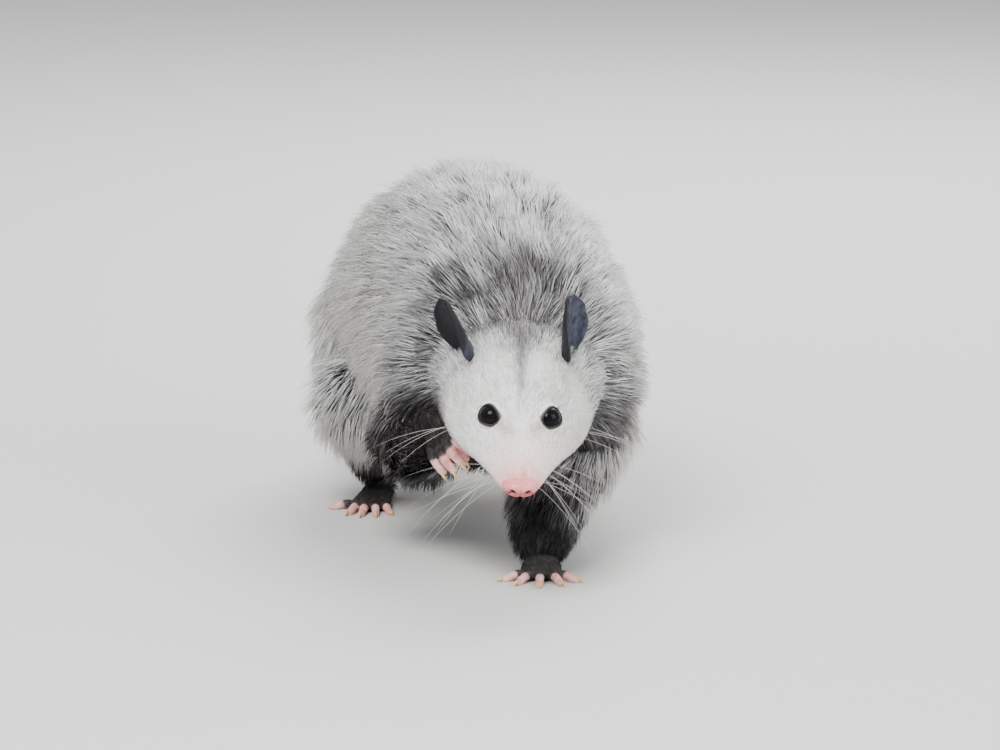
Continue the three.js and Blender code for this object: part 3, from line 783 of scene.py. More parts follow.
# x, y, z, half width, half thickness of each stretch of a leg
LEG_ROWS = {
    "foreleg_left_upper": [[26, 142, 92, 22, 21], [33, 146, 80, 23, 20], [35, 148, 68, 22, 19]],
    "foreleg_left": [
        [34, 146, 66, 24, 20], [27, 126, 52, 24.5, 20], [17, 104, 34, 21.5, 17],
        [12.5, 85, 16, 15, 12],
    ],
    "foreleg_right_upper": [
        [-34, 142, 92, 22, 21], [-44, 143, 78, 23, 20], [-52, 140, 60, 22, 20],
    ],
    "foreleg_right": [
        [-53, 137, 56, 21, 19], [-53, 122, 58, 19, 17], [-49, 106, 67, 14.5, 13.5],
        [-43.5, 90, 77, 10.5, 9.5],
    ],
    "shank_left": [[18, 258, 64, 22, 22], [17, 276, 44, 18, 17], [15, 290, 18, 11, 10.5]],
    "thigh_left": [[6, 306, 104, 36, 38], [14, 288, 84, 33, 33], [18, 264, 66, 24, 24]],
    "shank_right": [[-82, 238, 62, 22, 22], [-82, 256, 44, 18, 17], [-79, 268, 18, 11, 10.5]],
    "thigh_right": [[-66, 300, 100, 37, 40], [-74, 278, 80, 34, 36], [-81, 248, 64, 24, 25]],
}


def body_bones() -> list[Bone]:
    """Lays bones through head, jaw, trunk, tail, legs and paws.

    Returns:
        Every bone of the animal, chain by chain.
    """
    head = on_head([[0, 3, -1], [0, 16, -2], [0, 34, -2], [0, 66, 0], [0, 106, 2]])
    jaw = on_head([[0, 12, -11], [0, 40, -18], [0, 82, -24]])
    found = bones_along(
        Region.HEAD, head, (7, 13, 18, 30, 33), (0.8, 1.5, 2.6, 6.0, 15), 23,
        (0.3, 0.32, 0.38, 0.46, 0.55), (0.97, 1, 1, 1, 0.97), (0.0, 0.5, 1, 1, 1), 1.6,
    )
    found += bones_along(
        Region.HEAD, jaw, (3, 8, 14), (1.2, 3.5, 9), 16, (0.35, 0.5, 0.65), (0.9, 1, 0.9),
        (0.5, 1, 1), 1.4,
    )
    found += bones_along(
        Region.TRUNK,
        [(1, 98, 98), (0, 135, 110), (-12, 200, 114), (-32, 295, 112), (-48, 374, 108)],
        (38, 56, 58, 54, 16), (17, 33, 38, 41, 32), 38, (0.7, 0.8, 0.85, 0.85, 0.8),
        (0.68, 0.70, 0.80, 0.88, 0.76), density=0.93,
    )
    tail = np.array(TAIL_ROWS, float)
    bare = tail[FURRED_TAIL_ROWS - 1:]
    found += bones_along(
        Region.TAIL, [(-49, 380, 112), *tail[1:FURRED_TAIL_ROWS, :3]], (15, 13.5, 12, 10.6),
        (22, 15, 9, 2.0), 18, (0.8, 0.75, 0.6, 0.4), (0.3, 0.06, 0.02, 0.2), (1, 1, 0.85, 0.0), 0.9,
    )
    found += bones_along(
        Region.TAIL, bare[:, :3], bare[:, 3], [1.4] * len(bare), 20, [0.35] * len(bare),
        [0.5] * len(bare), [0.0] * len(bare), 0.05,
    )
    found += bones_along(
        Region.FORE_LEFT, [(26, 142, 92), (34, 147, 67), (18, 104, 34), (12, 84, 13)],
        (17, 18, 14, 9), (32, 28, 20, 10), 28, (0.85, 0.8, 0.75, 0.55), (0.8, 0.7, 0.16, 0.02),
        density=0.75,
    )
    found += bones_along(
        Region.FORE_RIGHT, [(-34, 142, 92), (-52, 139, 59), (-49, 106, 67), (-43, 89, 77)],
        (17, 17, 10, 7), (28, 20, 12, 6), 24, (0.85, 0.8, 0.7, 0.5), (0.55, 0.1, 0.03, 0.02),
        density=0.75,
    )
    hind_left = [(6, 306, 104), (18, 264, 66), (17, 276, 44), (15, 291, 16)]
    hind_right = [(-66, 300, 100), (-81, 248, 64), (-82, 256, 44), (-79, 269, 16)]
    for region, path, white in (
        (Region.HIND_LEFT, hind_left, (0.85, 0.78, 0.55, 0.04)),
        (Region.HIND_RIGHT, hind_right, (0.88, 0.84, 0.66, 0.05)),
    ):
        found += bones_along(
            region, path, (27, 16, 14, 8), (38, 30, 22, 8), 30, (0.75, 0.72, 0.65, 0.5), white,
            density=1.0,
        )
    for paw in PAWS:
        found += paw.bones()
    return found


BONES = body_bones()


@dataclass
class Pelt:
    """What the coat is like at a set of points: cut, lie, markings and place on the unwrap."""

    length: Array
    rise: Array
    width: Array
    white: Array
    furred: Array
    density: Array
    lie: Array
    region: Array
    along: Array
    around: Array
    grizzle: Array


def picked(record: "Pelt | MarksAndShade | Tufts", chosen: Array) -> "Pelt | MarksAndShade | Tufts":
    """The same kind of record with only the chosen entries of each of its arrays."""
    return type(record)(*(getattr(record, field.name)[chosen] for field in fields(record)))


def pelt_at(points: Array, normals: Array) -> Pelt:
    """Blends the bones' values at points of the skin.

    A bone's weight falls off as e to the minus gap over softness, where the gap is the distance
    from the bone's own skin. The hair lies along the blended bones, hangs a little on the trunk's
    sides and is laid flat on the skin. The unwrap has the distance along the chain of bones one
    way and the angle round the bone the other way.

    Args:
        points: places on the skin.
        normals: the skin's normals there.

    Returns:
        The pelt, with one value of each kind for each point.
    """
    gaps, shares = [], []
    for b in BONES:
        start, end = np.array(b.start, float), np.array(b.end, float)
        axis = end - start
        t = np.clip((points - start) @ axis / (axis @ axis), 0, 1)
        away = np.linalg.norm(points - start - t[:, None] * axis, axis=1)
        gaps.append(away - (b.radius[0] + (b.radius[1] - b.radius[0]) * t))
        shares.append(t)
    gap, share = np.stack(gaps, 1), np.stack(shares, 1)
    nearest = gap.argmin(1)
    radii = np.array([sum(b.radius) / 2 for b in BONES])
    soft = np.clip(radii[nearest] * BLEND_SHARE, *BLEND_LIMITS)[:, None]
    weight = np.exp(-(gap - gap.min(1, keepdims=True)) / soft)
    weight /= weight.sum(1, keepdims=True)

    def blend(key: str) -> Array:
        """One value of the bones, weighed at every point."""
        ends = np.array([getattr(b, key) for b in BONES], float)
        return (weight * (ends[:, 0] + (ends[:, 1] - ends[:, 0]) * share)).sum(1)

    starts = np.array([b.start for b in BONES], float)
    spans = np.array([b.end for b in BONES], float) - starts
    axes = unit(spans)
    regions = np.array([b.region.value for b in BONES])
    lie = weight @ axes
    lie[:, 2] -= (weight * (regions == Region.TRUNK.value)).sum(1) * HANG * np.abs(normals[:, 0])
    lie -= normals * (lie * normals).sum(1, keepdims=True)
    axis = axes[nearest]
    side = unit(np.cross(axis, np.array([0.1, 0.2, 1.0])))
    over = np.cross(side, axis)
    off = points - starts[nearest]
    bone_length = np.array([math.dist(b.start, b.end) for b in BONES])
    before = np.zeros(len(BONES))
    for i in range(1, len(BONES)):
        before[i] = before[i - 1] + bone_length[i - 1] if regions[i] == regions[i - 1] else 0
    along = before[nearest] + share[np.arange(len(points)), nearest] * bone_length[nearest]
    around = np.arctan2((off * side).sum(1), (off * over).sum(1)) / (2 * math.pi) + 0.5
    length = blend("length")
    behind_neck = smoothstep(95, 150, points[:, 1])
    grizzle = smoothstep(13, 24, length) * (0.25 + 0.75 * behind_neck)
    return Pelt(
        length, blend("rise"), blend("width"), blend("white"), blend("furred"),
        blend("density"), unit(lie), regions[nearest], along, around, grizzle,
    )


def wave_noise(points: Array, size: float, seed: int) -> Array:
    """A smooth value in space: a sum of sine waves in drawn directions, held to -1 to 1.

    Args:
        points: places in millimetres.
        size: the usual length of a wave.
        seed: the seed of the draw.

    Returns:
        One value for each point.
    """
    rng = np.random.default_rng(seed)
    total = np.zeros(len(points))
    for _ in range(7):
        direction = unit(rng.normal(size=3)) * (2 * math.pi / size) * rng.uniform(0.6, 1.5)
        total += np.sin(points @ direction + rng.uniform(0, 2 * math.pi))
    return np.clip(total / 3.2, -1, 1)


# The streak down the forehead: half width and strength, by distance behind the nose tip
STREAK_WIDTH = ([40, 60, 72, 86, 100, 112], [1.6, 2.6, 4.4, 8.5, 19.0, 30.0])
STREAK_TONE = ([34, 46, 56, 70, 84, 104], [0.0, 0.12, 0.40, 0.48, 0.50, 0.36])

# Distances from an eye's middle over which its dark rim and the brown round it fade away
RIM_FADE = (4.6, 6.0)
BROWN_FADE = (5.2, 8.0)

# The brown mark from an eye's inner corner: half width, and where it begins and ends
TEAR_WIDTH = 3.2
TEAR_START = (4, 9)
TEAR_END = (14, 26)

# The left ear's root in the head's frame, with greyer fur this far round it
EAR_ROOT = (23.0, 96.0, 16.0)
EAR_SHADE = 9.0

# Middle along y and reach of the painted shade on the neck under and behind the head, and of the nape
# with its reach across
NECK_SHADE_BACK, NECK_SHADE_LONG = 104, 20
NAPE_BACK, NAPE_LONG, NAPE_WIDE = 108, 34, 27


@dataclass
class MarksAndShade:
    """The markings and painted shade: how light, how brown and how pink the hair is, and how far it
    covers the skin.
    """

    light: Array
    brown: Array
    pink: Array
    furred: Array


def marks_and_shade_at(points: Array, pelt: Pelt) -> MarksAndShade:
    """The markings and painted shade at points of skin or coat, from face_marks and
    body_marks_and_shade.

    Args:
        points: places on the skin.
        pelt: the pelt at the same places.

    Returns:
        One value of each kind for each point.
    """
    local = from_head(points)
    back = local[:, 1]
    on_face = (pelt.region == Region.HEAD.value).astype(float)
    light = pelt.white + 0.1 * wave_noise(points, 45, 3) * (1 - 0.7 * on_face)
    brown = 0.12 + 0.1 * wave_noise(points, 60, 4) + 0.06 * on_face
    light, brown = face_marks(points, local, on_face, light, brown)
    light, brown = body_marks_and_shade(points, pelt.region, light, brown)
    muzzle = on_face * (0.75 * bell(back / 11) + 0.22 * bell((back - 16) / 12))
    kinds = (light, brown, muzzle, pelt.furred)
    return MarksAndShade(*(np.clip(kind, 0, 1) for kind in kinds))


def face_marks(
    points: Array, local: Array, on_face: Array, light: Array, brown: Array
) -> tuple[Array, Array]:
    """Adds the markings of the face.

    A grey-brown streak runs from between the ears to between the eyes, as a bell across the face
    that widens and darkens backwards. The eyes have dark rims, brown towards the inner corner
    and below it, and the fur is greyer round the roots of the ears.

    Args:
        points: places on the skin.
        local: the same places in the head's own frame.
        on_face: 1 on the head and 0 elsewhere.
        light: how light the hair is so far.
        brown: how brown it is so far.

    Returns:
        The new values of light and brown.
    """
    x, back, up = local.T
    blur = 1 + 0.25 * wave_noise(points, 9, 6)
    half = np.interp(back, *STREAK_WIDTH) * blur
    streak = np.interp(back, *STREAK_TONE) * bell(x / half) * (up > -5)
    light = light - on_face * streak
    brown = brown + on_face * streak * 0.45
    for sign, _ in SIDES:
        middle, out = eye_seat(sign)
        inward = eye_inward(sign, out)
        off = local - middle
        along, across = off @ inward, off @ np.cross(inward, out)
        distance = np.hypot(np.where(along > 0, along * 0.78, along * 0.9), across * 1.12)
        near = (np.abs(off @ out) < EYE_REACH) * on_face
        light = light - 1.05 * near * (1 - smoothstep(*RIM_FADE, distance))
        brown = brown + 0.7 * near * (1 - smoothstep(*BROWN_FADE, distance))
        tear = bell(across / TEAR_WIDTH) * smoothstep(*TEAR_START, along)
        tear *= (1 - smoothstep(*TEAR_END, along)) * on_face * (up > -8)
        light = light - 0.16 * tear
        brown = brown + 0.7 * tear
    for sign, _ in SIDES:
        root = np.array(EAR_ROOT) * [sign, 1, 1]
        near = bell(np.linalg.norm(local - root, axis=1) / EAR_SHADE)
        light = light - 0.35 * near * (back > 92)
    return light, brown


def body_marks_and_shade(points: Array, region: Array, light: Array, brown: Array) -> tuple[Array, Array]:
    """Adds the markings of trunk and forelegs, and painted shade on neck and belly.

    Painted shade darkens the neck behind the cheeks, most low down under the head. The nape is
    darker, the flanks lighter, the belly darker towards the front, partly by its own fur and partly
    by painted shade under the body, and the left foreleg is lighter on its outer side.

    Args:
        points: places on the skin.
        region: the region at each place.
        light: how light the hair is so far.
        brown: how brown it is so far.

    Returns:
        The new values of light and brown.
    """
    x, y, z = points.T
    trunk = (region == Region.TRUNK.value).astype(float)
    # Painted shade on the neck under and behind the head, deepest low down
    neck_shade = bell((y - NECK_SHADE_BACK) / NECK_SHADE_LONG) * trunk
    light = light - neck_shade * (0.05 + 0.45 * smoothstep(100, 72, z))
    nape = bell((y - NAPE_BACK) / NAPE_LONG, x / NAPE_WIDE) * trunk * smoothstep(98, 122, z)
    light = light - 0.26 * nape
    brown = brown + 0.05 * nape
    flank = smoothstep(34, 60, np.abs(x + 0.13 * y - 10))
    light = light + 0.12 * flank * trunk * smoothstep(50, 80, z)
    # Darker low on the trunk towards the front: partly dark fur of the underside, partly painted shade
    # under the body
    belly = smoothstep(75, 52, z) * trunk
    light = light - 0.35 * belly * smoothstep(330, 250, y)
    outer = (region == Region.FORE_LEFT.value) * smoothstep(20, 46, x)
    light = light + 0.3 * outer * smoothstep(14, 30, z)
    return light, brown


def eye_seat(sign: int) -> tuple[Array, Array]:
    """Where an eye sits: under the head's surface, looking out along the surface's normal.

    Args:
        sign: 1 for the left eye and -1 for the right.

    Returns:
        The eyeball's middle and the unit vector of its look, in the head's own frame.
    """
    angle = EYE_ANGLE if sign > 0 else math.pi - EYE_ANGLE

    def at(back: float, a: float) -> Array:
        """One point of the head's surface."""
        return head_point(np.array([back]), np.array([a]))[0]

    around = at(EYE_BACK, angle + 0.05) - at(EYE_BACK, angle - 0.05)
    lengthwise = at(EYE_BACK + 2, angle) - at(EYE_BACK - 2, angle)
    out = unit(np.cross(around, lengthwise))
    out = -out if out[2] < 0 else out
    return at(EYE_BACK, angle) - out * EYE_SUNK, out


def eye_inward(sign: int, out: Array) -> Array:
    """The way from an eye towards its inner corner, square to the way that it looks."""
    way = np.array([-sign, -0.75, -0.35])
    return unit(way - out * (way @ out))


# Materials

Value = "Wire | float | Sequence[float]"


@dataclass
class Wire:
    """A node's output socket that takes part in Python arithmetic."""

    tree: "Shader"
    socket: bpy.types.NodeSocket

    def maths(self, operation: str, other: Value, swap: bool = False) -> "Wire":
        """A Math node on this value and another, in that order or swapped."""
        pair = (other, self) if swap else (self, other)
        return self.tree.node("ShaderNodeMath", {"operation": operation}, {0: pair[0], 1: pair[1]})

    def __add__(self, other: Value) -> "Wire":
        """self + other"""
        return self.maths("ADD", other)

    def __radd__(self, other: Value) -> "Wire":
        """other + self"""
        return self.maths("ADD", other, True)

    def __sub__(self, other: Value) -> "Wire":
        """self - other"""
        return self.maths("SUBTRACT", other)

    def __rsub__(self, other: Value) -> "Wire":
        """other - self"""
        return self.maths("SUBTRACT", other, True)

    def __mul__(self, other: Value) -> "Wire":
        """self * other"""
        return self.maths("MULTIPLY", other)

    def __rmul__(self, other: Value) -> "Wire":
        """other * self"""
        return self.maths("MULTIPLY", other, True)


class Shader:
    """A material's node tree around one Principled shader."""

    def __init__(self, name: str) -> None:
        """Makes the material and clears its tree.

        Args:
            name: the material's name.
        """
        self.material = bpy.data.materials.new(name)
        self.material.use_nodes = True
        self.nodes = self.material.node_tree.nodes
        self.links = self.material.node_tree.links
        self.nodes.clear()

    def node(self, kind: str, settings: dict, inputs: dict, output: int | str = 0) -> Wire:
        """Adds a node.

        Args:
            kind: the node's type.
            settings: its own settings; "stops" gives a ramp's (place, colour) pairs.
            inputs: values or wires by the socket's name or number.
            output: which output to return.

        Returns:
            The output as a wire.
        """
        made = self.nodes.new(kind)
        for key, value in settings.items():
            if key == "stops":
                elements = made.color_ramp.elements
                for _ in range(len(value) - 2):
                    elements.new(0.5)
                for element, (place, colour) in zip(elements, value):
                    element.position = place
                    element.color = (*colour, 1)
            else:
                setattr(made, key, value)
        for key, value in inputs.items():
            socket = made.inputs[key]
            if isinstance(value, Wire):
                self.links.new(value.socket, socket)
            else:
                socket.default_value = value
        return Wire(self, made.outputs[output] if made.outputs else None)

    def attribute(self, name: str) -> Wire:
        """A number stored on the mesh."""
        return self.node("ShaderNodeAttribute", {"attribute_name": name}, {}, "Fac")

    def place(self) -> Wire:
        """Object coordinates."""
        return self.node("ShaderNodeTexCoord", {}, {}, "Object")

    def noise(self, scale: float, detail: float = 3.0, stretch: Sequence[float] = (1, 1, 1)) -> Wire:
        """Noise on Object coordinates, from 0 to 1."""
        where = self.node("ShaderNodeMapping", {}, {"Vector": self.place(), "Scale": stretch})
        return self.node("ShaderNodeTexNoise", {}, {"Vector": where, "Scale": scale, "Detail": detail})

    def mix(self, share: Value, first: Value, second: Value) -> Wire:
        """A mix of two colours.

        Args:
            share: the share of the second colour.
            first: the first colour, as numbers or a wire.
            second: the second colour.

        Returns:
            The mixed colour.
        """
        whole = [v if isinstance(v, Wire) else (*v, 1) for v in (first, second)]
        return self.node(
            "ShaderNodeMix", {"data_type": "RGBA", "clamp_factor": True},
            {0: share, 6: whole[0], 7: whole[1]}, 2,
        )

    def ramp(self, value: Wire, stops: Sequence[tuple]) -> Wire:
        """A colour ramp."""
        return self.node("ShaderNodeValToRGB", {"stops": stops}, {0: value})

    def clamp(self, value: Wire, low: float, high: float) -> Wire:
        """A value moved from the span low..high to 0..1, and held there."""
        return self.node(
            "ShaderNodeMapRange", {"clamp": True},
            {"Value": value, "From Min": low, "From Max": high, "To Min": 0.0, "To Max": 1.0},
        )

    def bump(self, height: Wire, distance: float, strength: float) -> Wire:
        """A Bump node's normal."""
        return self.node(
            "ShaderNodeBump", {}, {"Height": height, "Distance": distance, "Strength": strength}
        )

    def cells(self, scale: float) -> Wire:
        """The distance to the nearest of many scattered points, for pores and pebbled skin."""
        settings = {"feature": "F1"}
        return self.node("ShaderNodeTexVoronoi", settings, {"Vector": self.place(), "Scale": scale})

    def blotches(self, scale: float, detail: float, low: float, high: float) -> Wire:
        """Noise with its span low..high stretched to 0..1."""
        return self.clamp(self.noise(scale, detail), low, high)

    def finish(self, sockets: dict) -> bpy.types.Material:
        """Adds the Principled shader and the output.

        Args:
            sockets: the Principled shader's values and wires by name.

        Returns:
            The finished material.
        """
        surface = self.node("ShaderNodeBsdfPrincipled", {}, sockets)
        self.node("ShaderNodeOutputMaterial", {}, {"Surface": surface})
        return self.material


@dataclass(frozen=True)
class PeltFinish:
    """Hair: near black through grey to warm white by how light it is, with brown mixed in."""

    black: tuple = (0.010, 0.009, 0.010)
    grey: tuple = (0.13, 0.125, 0.13)
    pale: tuple = (0.50, 0.49, 0.485)
    white: tuple = (0.93, 0.91, 0.885)
    brown: tuple = (0.20, 0.12, 0.07)
    pink: tuple = (0.90, 0.50, 0.46)
    brown_share: float = 0.55
    strand_contrast: float = 0.16
    roughness: float = 0.55
    shine: float = 0.35

    def colour(self, shader: Shader) -> Wire:
        """The hair's colour from the attributes light, brown and pink, with noise along the body.

        Args:
            shader: the material that the nodes are added to.

        Returns:
            The colour.
        """
        strands = shader.noise(900, 2, (1, 0.12, 1))
        light = shader.attribute("light") + (strands - 0.5) * self.strand_contrast
        stops = ((0.0, self.black), (0.35, self.grey), (0.68, self.pale), (1.0, self.white))
        tone = shader.ramp(light, stops)
        share = shader.attribute("brown") * self.brown_share
        warm = shader.mix(share, tone, shader.mix(0.5, tone, self.brown))
        return shader.mix(shader.attribute("pink"), warm, self.pink)

    def coat(self) -> bpy.types.Material:
        """The material of the tufts.

        Returns:
            The material.
        """
        shader = Shader("pelt_hair")
        return shader.finish({
            "Base Color": self.colour(shader),
            "Roughness": self.roughness,
            "Specular IOR Level": self.shine,
        })


@dataclass(frozen=True)
class SkinFinish:
    """Skin: short fur where it is furred, else bare pink skin, and rows of scales on the tail."""

    pelt: PeltFinish
    pink: tuple = (0.72, 0.30, 0.27)
    pale: tuple = (0.80, 0.52, 0.47)
    dusky: tuple = (0.20, 0.11, 0.10)
    scale_gap: tuple = (0.26, 0.17, 0.14)
    scale_pale: tuple = (0.60, 0.47, 0.41)
    wetness: float = 0.42
    fur_roughness: float = 0.3

    def scales(self, shader: Shader) -> Wire:
        """The colour of the tail's scales: bricks on the place along and round the tail.

        Args:
            shader: the material that the nodes are added to.

        Returns:
            The colour.
        """
        place = {0: shader.attribute("scale_u"), 1: shader.attribute("scale_v"), 2: 0.0}
        inputs = {
            "Vector": shader.node("ShaderNodeCombineXYZ", {}, place),
            "Color1": (*self.scale_pale, 1),
            "Color2": (*self.pale, 1),
            "Mortar": (*self.scale_gap, 1),
            "Scale": 1.0,
            "Mortar Size": 0.12,
            "Mortar Smooth": 0.6,
            "Brick Width": 1.6,
            "Row Height": 1.0,
        }
        return shader.node("ShaderNodeTexBrick", {"offset": 0.5}, inputs, "Color")

    def material(self) -> bpy.types.Material:
        """The material of the skin, with hair or pores in its relief.

        Returns:
            The material.
        """
        shader = Shader("skin")
        furred = shader.clamp(shader.attribute("furred"), 0.12, 0.5)
        mottle = shader.noise(260, 4)
        bare = shader.mix(shader.clamp(mottle, 0.42, 0.62), self.pink, self.pale)
        bare = shader.mix(shader.blotches(90, 3, 0.56, 0.72) * 0.5, bare, self.dusky)
        worn = shader.clamp(mottle, 0.35, 0.7) * 0.4
        scales = shader.mix(worn, self.scales(shader), self.scale_gap)
        bare = shader.mix(shader.attribute("tail"), bare, scales)
        hair = shader.noise(1500, 2, (1, 0.25, 1))
        relief = furred * hair + (1 - furred) * (shader.cells(1100.0) * 0.6 + mottle * 0.5)
        return shader.finish({
            "Base Color": shader.mix(furred, bare, self.pelt.colour(shader)),
            "Roughness": self.wetness + furred * self.fur_roughness,
            "Specular IOR Level": 0.4,
            "Subsurface Weight": 0.08,
            "Subsurface Radius": (0.004, 0.0016, 0.001),
            "Normal": shader.bump(relief, 0.0004, 0.7),
        })


@dataclass(frozen=True)
class EyeFinish:
    """A black eye with a trace of brown, under a wet cornea."""

    black: tuple = (0.003, 0.003, 0.004)
    brown: tuple = (0.008, 0.006, 0.006)
    roughness: float = 0.06
    shine: float = 0.1

    def material(self) -> bpy.types.Material:
        """The material of both eyes.

        Returns:
            The material.
        """
        shader = Shader("eye_wet")
        return shader.finish({
            "Base Color": shader.mix(shader.blotches(160, 2, 0.4, 0.7), self.black, self.brown),
            "Roughness": self.roughness,
            "Specular IOR Level": self.shine,
        })


@dataclass(frozen=True)
class NoseFinish:
    """Moist pebbled skin, light pink above and darker red below partly by painted shade, with painted
    shade in its pits.
    """

    top: tuple = (0.82, 0.28, 0.28)
    # The darker red of the lower pad: partly the skin's own red, partly painted shade under it
    low: tuple = (0.56, 0.06, 0.08)
    # Colour of the painted shade in the nostrils and the groove
    pit: tuple = (0.09, 0.02, 0.02)
    moisture: float = 0.35

    def material(self) -> bpy.types.Material:
        """The material of the nose pad.

        Returns:
            The material.
        """
        shader = Shader("nose_moist")
        pebbles = shader.cells(1700.0)
        # Darker red towards the bottom: partly the skin's own red, partly painted shade under the pad
        colour = shader.mix(shader.attribute("low"), self.top, self.low)
        colour = shader.mix(shader.blotches(420, 3, 0.45, 0.7) * 0.35, colour, self.low)
        return shader.finish({
            # Painted shade darkens the nostrils and the groove
            "Base Color": shader.mix(shader.attribute("pit"), colour, self.pit),
            "Roughness": 0.28 + pebbles * 0.25,
            "Coat Weight": self.moisture,
            "Coat Roughness": 0.12,
            "Subsurface Weight": 0.12,
            "Subsurface Radius": (0.003, 0.001, 0.0008),
            "Normal": shader.bump(pebbles, 0.0003, 0.8),
        })


@dataclass(frozen=True)
class EarFinish:
    """Thin black skin with a painted blue-grey sheen, the reflection of the sky, inside its cup."""

    black: tuple = (0.012, 0.011, 0.014)
    # Colour of the painted sheen: the sky's blue-grey reflection on the thin skin
    bloom: tuple = (0.085, 0.105, 0.155)
    shine: float = 0.2

    def material(self) -> bpy.types.Material:
        """The material of both ears.

        Returns:
            The material.
        """
        shader = Shader("ear_skin")
        wrinkle = shader.noise(340, 4, (1, 1, 0.35))
        # Painted sheen: the sky's blue-grey reflection painted into the colour, broken up by the
        # wrinkles
        bloom = shader.attribute("inside") * shader.clamp(wrinkle, 0.3, 0.75)
        return shader.finish({
            "Base Color": shader.mix(bloom, self.black, self.bloom),
            "Roughness": 0.5 + wrinkle * 0.2,
            "Specular IOR Level": self.shine,
            "Normal": shader.bump(wrinkle, 0.0005, 0.6),
        })


@dataclass(frozen=True)
class ClawFinish:
    """Horn: translucent yellow with browner grain."""

    horn: tuple = (0.72, 0.50, 0.21)
    grain: tuple = (0.34, 0.20, 0.12)

    def material(self) -> bpy.types.Material:
        """The material of all claws.

        Returns:
            The material.
        """
        shader = Shader("claw_horn")
        grain = shader.noise(500, 3)
        return shader.finish({
            "Base Color": shader.mix(shader.clamp(grain, 0.4, 0.75) * 0.5, self.horn, self.grain),
            "Roughness": 0.3 + grain * 0.15,
            "Subsurface Weight": 0.1,
            "Subsurface Radius": (0.002, 0.0015, 0.001),
            "Normal": shader.bump(grain, 0.0002, 0.4),
        })


@dataclass(frozen=True)
class WhiskerFinish:
    """Stiff white hair, greyer towards its root."""

    root: tuple = (0.45, 0.42, 0.40)
    tip: tuple = (0.93, 0.92, 0.9)
    roughness: float = 0.35
    shine: float = 0.5

    def material(self) -> bpy.types.Material:
        """The material of the whiskers.

        Returns:
            The material.
        """
        shader = Shader("whisker_hair")
        return shader.finish({
            "Base Color": shader.mix(shader.attribute("strand"), self.root, self.tip),
            "Roughness": self.roughness,
            "Specular IOR Level": self.shine,
        })


# The animal's pieces


